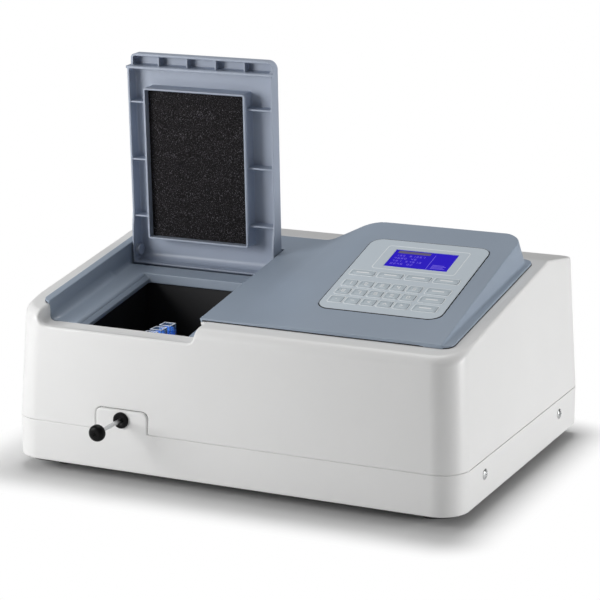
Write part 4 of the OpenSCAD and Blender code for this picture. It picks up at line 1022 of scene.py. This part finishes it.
KEY_R = 1.6
KEY_LEAST_R = 0.3
KEY_EDGE = 0.5
KEY_RIM = 1.3
LINE_GAP = 0.35
LINE_W = 1.1
LINE_H = 0.2
LINE_ROOT = 0.1
LINE_SLOPE = 0.2
SIGN_SHARE = 0.7
KEY_GROOVE = 0.3
KEY_PILLOW = 2.2
BAR_SHARE = 0.45
BAR_W = 1.8
MARK_W = 1.0
MARK_T = 0.04
DIGIT_W = 2.6
DIGIT_H = 4.2
SEGMENTS = {
    "a": ((-0.5, 0.5), (0.5, 0.5)), "b": ((0.5, 0), (0.5, 0.5)), "c": ((0.5, -0.5), (0.5, 0)),
    "d": ((-0.5, -0.5), (0.5, -0.5)), "e": ((-0.5, -0.5), (-0.5, 0)), "f": ((-0.5, 0), (-0.5, 0.5)),
    "g": ((-0.5, 0), (0.5, 0))}
DIGITS = ("abcdef", "bc", "abdeg", "abcdg", "bcfg", "acdfg", "acdefg", "abc", "abcdefg", "abcdfg")
SIGNS = {
    "dot": [((0, -0.05), (0, 0.05))],
    "dash": [((-0.5, 0), (0.5, 0))],
    "left": [((0.4, 0.5), (-0.4, 0)), ((0.4, -0.5), (-0.4, 0))],
    "right": [((-0.4, 0.5), (0.4, 0)), ((-0.4, -0.5), (0.4, 0))],
    "up": [((-0.5, -0.4), (0, 0.4)), ((0.5, -0.4), (0, 0.4))]}


def strokes(pairs, x, v, z, w, h, width=MARK_W, look=1):
    """Flat strokes of a figure or a sign, from shares of its width and height about its middle."""
    at = [[(x + a * w, v + b * h) for a, b in pair] for pair in pairs]
    return [bar(start, end, width, z - MARK_T, z + MARK_T, look) for start, end in at]


def digit(value, x, v, z, size=1.0, **looks):
    """Strokes of one seven-stroke figure, with its middle at a point."""
    return strokes([SEGMENTS[s] for s in DIGITS[value]], x, v, z, DIGIT_W * size, DIGIT_H * size, **looks)


def top_face(node):
    """Middle, width, depth and height of the top of a node on the console."""
    mesh = nodes[node].data
    flat = np.zeros(len(mesh.vertices) * 3)
    mesh.vertices.foreach_get("co", flat)
    back = np.array(CONSOLE_MATRIX.inverted())
    at = (flat.reshape(-1, 3) @ back[:3, :3].T + back[:3, 3]) / MM
    z = at[:, 2].max()
    top = at[at[:, 2] > z - 0.05]
    return *((top.min(0) + top.max(0))[:2] / 2), *(top.max(0) - top.min(0))[:2], z


def key_frame(node):
    """Pale raised line round a key, as a closed band."""
    x, v, w, d, _ = top_face(node)
    low, high = PANEL_TOP - LINE_ROOT, PANEL_TOP + LINE_H
    end = LINE_GAP + LINE_W
    profile = ((LINE_GAP, low), (end, low), (end - LINE_SLOPE, high), (LINE_GAP, high))
    return band(x, v, w, d, KEY_R, profile)


def key_cap(node, label):
    """Key with a rounded edge, a shallow groove, a domed face and a label."""
    x, v, w, d, z = top_face(node)
    turns = np.linspace(0, math.pi / 2, 4)
    steps = [(0, PANEL_TOP - PANEL_T)]
    steps += [(KEY_EDGE * (1 - math.cos(t)), z - KEY_EDGE * (1 - math.sin(t))) for t in turns]
    inner = KEY_RIM + KEY_GROOVE
    steps += [(KEY_RIM, z), (KEY_RIM + KEY_GROOVE / 2, z - KEY_GROOVE), (inner, z - KEY_GROOVE)]
    steps += [(inner + KEY_PILLOW * (1 - math.cos(t)), z - KEY_GROOVE * (1 - math.sin(t))) for t in turns]
    rings = []
    for inset, high in steps:
        rings.append(oblong(x, v, w - 2 * inset, d - 2 * inset, max(KEY_R - inset, KEY_LEAST_R), high))
    shells = [skin(rings)]
    if label == "bar":
        half = BAR_SHARE * w / 2
        shells.append(bar((x - half, v), (x + half, v), BAR_W, z - MARK_T, z + MARK_T, 1))
    elif isinstance(label, int):
        shells += digit(label, x, v, z)
    else:
        shells += strokes(SIGNS[label], x, v, z, SIGN_SHARE * DIGIT_H, SIGN_SHARE * DIGIT_H)
    dress(shape(node + "_cap", shells, CONSOLE_MATRIX), node, key_film, ink, body=node)


SQUARE_LABELS = (1, 2, 3, 4, 5, 6, 7, 8, 9, 0, "dot", "dash", "left", "up", "right")
for kind, labels in (("soft", ["bar"] * 4), ("square", SQUARE_LABELS), ("wide", ["bar"] * 3)):
    for i, label in enumerate(labels):
        key_cap(f"{kind}_key_{i + 1}", label)

key_nodes = [node for node in nodes if "_key_" in node]
extra(shape("key_frames", [key_frame(node) for node in key_nodes], CONSOLE_MATRIX), key_rim)


# Raised frame round the display, and what the display shows

FRAME_H = 0.15
FRAME_W = 1.0
FRAME_SPREAD_X = 10.5
FRAME_SPREAD_V = 7.0
FRAME_ROOT = 0.1
FRAME_R = 4.0
SPLIT_SHARE = 0.66
SPLIT_INSET = (1.5, 5.0)
SPLIT_W = 0.5
TITLE_DROP = 4.0
TITLE_INSET = (6.0, 8.0)
TITLE_H = 5.0
ROW_DROP = 11.0
ROW_STEP = 5.6
FIGURE_INSET = 5.0
FIGURE_STEP = 3.4
FIGURE_SIZE = 0.62
FIGURE_STROKE = 0.4
BLOCK_INSET = 4.0
BLOCK_STEP = 2.2
BLOCK_SHORT = 2.4
BLOCK_STROKE = 0.8
LCD_X, LCD_V, LCD_W, LCD_D, LCD_Z = top_face("lcd_display")


def raised_frame():
    """Thin embossed line, as a closed band."""
    w, d = LCD_W + 2 * FRAME_SPREAD_X, LCD_D + 2 * FRAME_SPREAD_V
    top = PANEL_TOP + FRAME_H
    profile = [(0, PANEL_TOP), (-FRAME_W / 3, top), (-2 * FRAME_W / 3, top)]
    profile += [(-FRAME_W, PANEL_TOP), (-FRAME_W / 2, PANEL_TOP - FRAME_ROOT)]
    return band(LCD_X, LCD_V, w, d, FRAME_R, profile)


extra(shape("display_frame", [raised_frame()], CONSOLE_MATRIX), key_rim)


def shown():
    """Title bar, dividing line, rows of figures and a small block on the display."""
    left, right = LCD_X - LCD_W / 2, LCD_X + LCD_W / 2
    low, high = LCD_V - LCD_D / 2, LCD_V + LCD_D / 2
    flat = (LCD_Z, LCD_Z + MARK_T)
    split = left + SPLIT_SHARE * LCD_W
    title = high - TITLE_DROP
    shells = [bar((left + TITLE_INSET[0], title), (split - TITLE_INSET[1], title), TITLE_H, *flat, 1)]
    shells.append(bar((split, low + SPLIT_INSET[0]), (split, high - SPLIT_INSET[1]), SPLIT_W, *flat))
    for row in range(4):
        v = high - ROW_DROP - row * ROW_STEP
        for place in range(9 - 2 * (row % 2)):
            if place == 3 + row % 2:
                continue
            value = (3 * row + 2 * place + 1) % 10
            x = left + FIGURE_INSET + place * FIGURE_STEP
            shells += digit(value, x, v, LCD_Z, FIGURE_SIZE, width=FIGURE_STROKE, look=0)
    for i in range(4):
        v = low + BLOCK_INSET + i * BLOCK_STEP
        end = right - BLOCK_INSET - BLOCK_SHORT * (i % 2)
        shells.append(bar((split + BLOCK_INSET, v), (end, v), BLOCK_STROKE, *flat))
    return shells


extra(shape("display_marks", shown(), CONSOLE_MATRIX), screen_mark, screen_grey)


# Pull rod, its knob and its bushing, turned round an axis that points out of the front

KNOB_EDGE = 4.5
COLLAR_R = 5.0
COLLAR_L = 3.0
BUSH_EDGE = 0.9
BUSH_BARREL_R = 4.7
BUSH_FLARE = (1.2, 0.8)
COLLAR_EDGE = 0.4
COLLAR_FLARE = 0.6
KNOB_BACK = box_mm("rod_knob")[1][1]
KNOB_R = 8.0
KNOB_L = 11.0
KNOB_BACK_R = 2.0
ROD_FIT = 0.1
knob_profile = [(ROD_R + ROD_FIT, 0), (COLLAR_R - COLLAR_EDGE, 0), (COLLAR_R, COLLAR_EDGE)]
knob_profile += [(COLLAR_R, COLLAR_L - COLLAR_FLARE), (COLLAR_R + COLLAR_FLARE, COLLAR_L)]
knob_profile += rounded(KNOB_R, COLLAR_L, KNOB_BACK_R, False)
knob_profile += rounded(KNOB_R, KNOB_L, KNOB_EDGE, True, 10)
knob = shape("knob", [lathe(knob_profile)], tilt((ROD_X, KNOB_BACK, ROD_Z), 90))
dress(knob, "rod_knob", body="carriage")

bush_low, bush_high = box_mm("rod_bushing")
BUSH_R = (bush_high[0] - bush_low[0]) / 2
BUSH_L = bush_high[1] - bush_low[1]
BUSH_FLANGE = FRONT - bush_low[1]
bush_profile = [(ROD_R + ROD_FIT, 0), (BUSH_BARREL_R, 0), (BUSH_BARREL_R, BUSH_L - BUSH_FLANGE)]
bush_profile += [(BUSH_R, BUSH_L - BUSH_FLANGE)] + rounded(BUSH_R, BUSH_L, BUSH_EDGE, True)
bush_profile += [(ROD_R + BUSH_FLARE[0], BUSH_L), (ROD_R + ROD_FIT, BUSH_L - BUSH_FLARE[1])]
bush_rings = [circle(r, z) for r, z in bush_profile]
bushing = shape("bushing", [loop(bush_rings)], tilt((ROD_X, bush_high[1], ROD_Z), 90))
dress(bushing, "rod_bushing", knob_black)


# Feet and screws

FOOT_R = 12.0
FOOT_EDGE = 2.0
FOOT_RIM = 3.0
FOOT_HOLLOW = 0.5
foot_low, foot_high = box_mm("rubber_feet")
foot_profile = [(FOOT_R - FOOT_RIM + FOOT_HOLLOW, FOOT_HOLLOW), (FOOT_R - FOOT_RIM, 0)]
foot_profile += rounded(FOOT_R, 0, FOOT_EDGE, False) + [(FOOT_R - 1, foot_high[2])]
points, faces, paints = lathe(foot_profile)
feet = []
for x in (foot_low[0] + FOOT_R, foot_high[0] - FOOT_R):
    for y in (foot_low[1] + FOOT_R, foot_high[1] - FOOT_R):
        feet.append((points + np.array([x, y, 0]), faces, paints))
dress(shape("feet", feet), "rubber_feet")

SCREW_Z = 37.0
SIDE_TURN = 0.4
screws_low, screws_high = box_mm("casing_screws")
screw_box = np.array([SCREW_R, SCREW_R, SCREW_H])
number = 0
for side in (-1, 1):
    for y in (screws_low[1] + SCREW_R, screws_high[1] - SCREW_R):
        number += 1
        place = tilt((side * RIGHT, y, SCREW_Z), side * 90, "Y") @ Matrix.Rotation(SIDE_TURN * number, 4, "Z")
        screw = solid(f"side_screw_{number}", screw_head, -screw_box, screw_box, 0.25, 0.5, place)
        dress(screw, "casing_screws")

REAR_SCREW_SCALE = 0.6
REAR_SHARES = [(x, z) for x in (-0.47, 0, 0.47) for z in (0.14, 0.9)]
REAR_TURN = 0.7
panel_low, panel_high = box_mm("rear_panel")
panel_w, panel_h = (panel_high - panel_low)[[0, 2]]
for number, (x, z) in enumerate(REAR_SHARES):
    place = tilt((x * panel_w, panel_high[1], panel_low[2] + z * panel_h), -90)
    place = place @ Matrix.Rotation(REAR_TURN * number, 4, "Z") @ Matrix.Scale(REAR_SCREW_SCALE, 4)
    extra(solid(f"rear_screw_{number + 1}", screw_head, -screw_box, screw_box, 0.35, 0.5, place), steel)

PORT_PLACES = (-150.0, -110.0)
PORT_Y = box_mm("main_board")[1][1]
PORT_Z = 28.1
PORT_W = 13.4
PORT_BORE = 10.6
PORT_FRAME = 0.6


def port():
    """Socket with a metal frame, a dark core and a tongue, facing along z."""
    profile = ((PORT_W, 0), (PORT_W, PORT_FRAME), (PORT_BORE, PORT_FRAME), (PORT_BORE, 0))
    core = [oblong(0, 0, PORT_BORE + 0.4, PORT_BORE + 0.4, 0.5, z) for z in (0.02, PORT_FRAME / 3)]
    tongue = [oblong(0, 1, PORT_BORE * 0.6, PORT_BORE * 0.4, 0.4, z) for z in (0.1, PORT_FRAME * 0.8)]
    return [loop([oblong(0, 0, w, w, 0.8, z) for w, z in profile]), skin(core, 1), skin(tongue, 2)]


for number, x in enumerate(PORT_PLACES):
    socket = shape(f"rear_port_{number + 1}", port(), tilt((x, PORT_Y, PORT_Z), -90))
    extra(socket, chrome, black_paint, black_plastic)


# Cuvettes and what is in them

CELL_W = 12.5
CELL_WALL = 1.25
CELL_R = 0.5
RIM_DROP = 0.3
FILL_GAP = 0.1
FILL_DROP = 5.0
MENISCUS = 0.7
cells_low, cells_high = box_mm("cuvettes")
CELL_X = (cells_low[0] + cells_high[0]) / 2
CELL_BASE, CELL_RIM = cells_low[2], cells_high[2]
CELL_BORE = CELL_W - 2 * CELL_WALL
cell_places = np.linspace(cells_low[1] + CELL_W / 2, cells_high[1] - CELL_W / 2, 4)


def cell(y):
    """Square cup with a ground rim."""
    edge = CELL_RIM - RIM_DROP
    steps = [(CELL_W - 1, CELL_BASE), (CELL_W, CELL_BASE + 0.5), (CELL_W, edge), (CELL_W - 0.5, CELL_RIM)]
    steps += [(CELL_BORE + 0.4, CELL_RIM), (CELL_BORE, edge), (CELL_BORE, CELL_BASE + CELL_WALL)]
    rings = [oblong(CELL_X, y, w, w, CELL_R if w > CELL_BORE + 0.5 else CELL_R / 2, z) for w, z in steps]
    return skin(rings, looks=[0, 0, 1, 1, 1, 0, 0])


def filling(y):
    """Liquid that climbs a little at the walls."""
    top = CELL_RIM - FILL_DROP
    w = CELL_BORE - FILL_GAP
    steps = [(w, CELL_BASE + CELL_WALL + FILL_GAP), (w, top)]
    steps += [(w - 0.5, top - MENISCUS / 2), (w - 2, top - MENISCUS)]
    return skin([oblong(CELL_X, y, size, size, CELL_R / 2, z) for size, z in steps])


dress(shape("cells", [cell(y) for y in cell_places]), "cuvettes", clear, frost, body="carriage")
dress(shape("fillings", [filling(y) for y in cell_places]), "sample_liquid", body="carriage")


# Edges of the CAD nodes that show

for node in ("sample_chamber", "cuvette_carriage", "rear_panel", "base_plate", "power_inlet", "power_switch"):
    soften(node, 0.5)
for node in ("fan_frame", "fan_rotor", "guide_rails", "keypad_panel"):
    soften(node, 0.25)


# Floor, light and camera

FLOOR = 30.0
FLOOR_GREY = 0.8
SHADOW_START = 0.004
SHADOW_REACH = 0.06
SHADOW_SHIFT = -0.012


def studio_floor():
    """Pale floor that turns to plain white away from the object."""
    mesh = bpy.data.meshes.new("floor")
    corners = [(-FLOOR, -FLOOR, 0), (FLOOR, -FLOOR, 0), (FLOOR, FLOOR, 0), (-FLOOR, FLOOR, 0)]
    mesh.from_pydata(corners, [], [(0, 1, 2, 3)])
    floor = add_object("floor", mesh)
    mat, made, link, shader = tree_of("floor")
    pale = (FLOOR_GREY, FLOOR_GREY, FLOOR_GREY, 1)
    set_sockets(shader, {"Base Color": pale, "Roughness": 0.9, "Specular IOR Level": 0.1})
    middle = (SHADOW_SHIFT, SHADOW_SHIFT + (FRONT + REAR) / 2 * MM, 0)
    half = (RIGHT * MM, (REAR - FRONT) / 2 * MM, 0)
    none = (0, 0, 0)
    before, output = add_node(made, "NewGeometry"), "Position"
    for operation, value in (
            ("SUBTRACT", middle), ("ABSOLUTE", none), ("SUBTRACT", half), ("MAXIMUM", none),
            ("LENGTH", none)):
        step = add_node(made, "VectorMath")
        step.operation = operation
        step.inputs[1].default_value = value
        wire(link, (before, output, step, 0))
        before, output = step, "Vector"
    fade = add_node(made, "MapRange", From_Min=SHADOW_START, From_Max=SHADOW_REACH)
    fade.interpolation_type = "SMOOTHSTEP"
    glow = add_node(made, "Emission")
    mix = add_node(made, "MixShader")
    rays = add_node(made, "LightPath")
    seen = add_node(made, "Math")
    seen.operation = "MULTIPLY"
    wire(
        link, (before, "Value", fade, "Value"), (fade, "Result", seen, 0), (rays, "Is Camera Ray", seen, 1),
        (seen, "Value", mix, "Fac"), (shader, "BSDF", mix, 1), (glow, "Emission", mix, 2),
        (mix, "Shader", made["Material Output"], "Surface"))
    mesh.materials.append(mat)
    return floor


studio_floor()

SKY_LIGHT = 0.16
world = bpy.data.worlds.new("studio")
bpy.context.scene.world = world
world.use_nodes = True
made = world.node_tree.nodes
sky = made["Background"]
set_sockets(sky, {"Color": (1, 1, 1, 1)})
rays = add_node(made, "LightPath")
seen = add_node(made, "Math")
seen.operation = "MAXIMUM"
strength = add_node(made, "MapRange", To_Min=SKY_LIGHT, To_Max=1.0)
wire(
    world.node_tree.links.new, (rays, "Is Camera Ray", seen, 0), (rays, "Is Transmission Ray", seen, 1),
    (seen, "Value", strength, "Value"), (strength, "Result", sky, "Strength"))


def area_light(name, place, target, size, power):
    data = bpy.data.lights.new(name, "AREA")
    data.size = size
    data.energy = power
    lamp = add_object(name, data)
    lamp.location = place
    lamp.rotation_euler = (Vector(target) - Vector(place)).to_track_quat("-Z", "Y").to_euler()


area_light("left_softbox", (-0.9, -0.9, 0.45), (0, 0, 0.12), size=0.6, power=10.5)
area_light("right_softbox", (1.6, 0.3, 0.2), (0, 0, 0.12), size=0.5, power=14.5)
area_light("top_softbox", (-0.2, 0.4, 2.0), (0, 0, 0.1), size=1.0, power=16)

CAMERA_LENS = 135.21
CAMERA_PLACE = (894.42, -1906.99, 673.98)
CAMERA_DOWN = 13.753
CAMERA_TURN = 24.861
camera_data = bpy.data.cameras.new("camera")
camera_data.sensor_width = 36
camera_data.lens = CAMERA_LENS
camera_data.clip_end = 100
camera = add_object("camera", camera_data)
camera.location = Vector(CAMERA_PLACE) * MM
camera.rotation_euler = (math.radians(90 - CAMERA_DOWN), 0, math.radians(CAMERA_TURN))
bpy.context.scene.camera = camera
bpy.context.scene.view_settings.view_transform = "Standard"
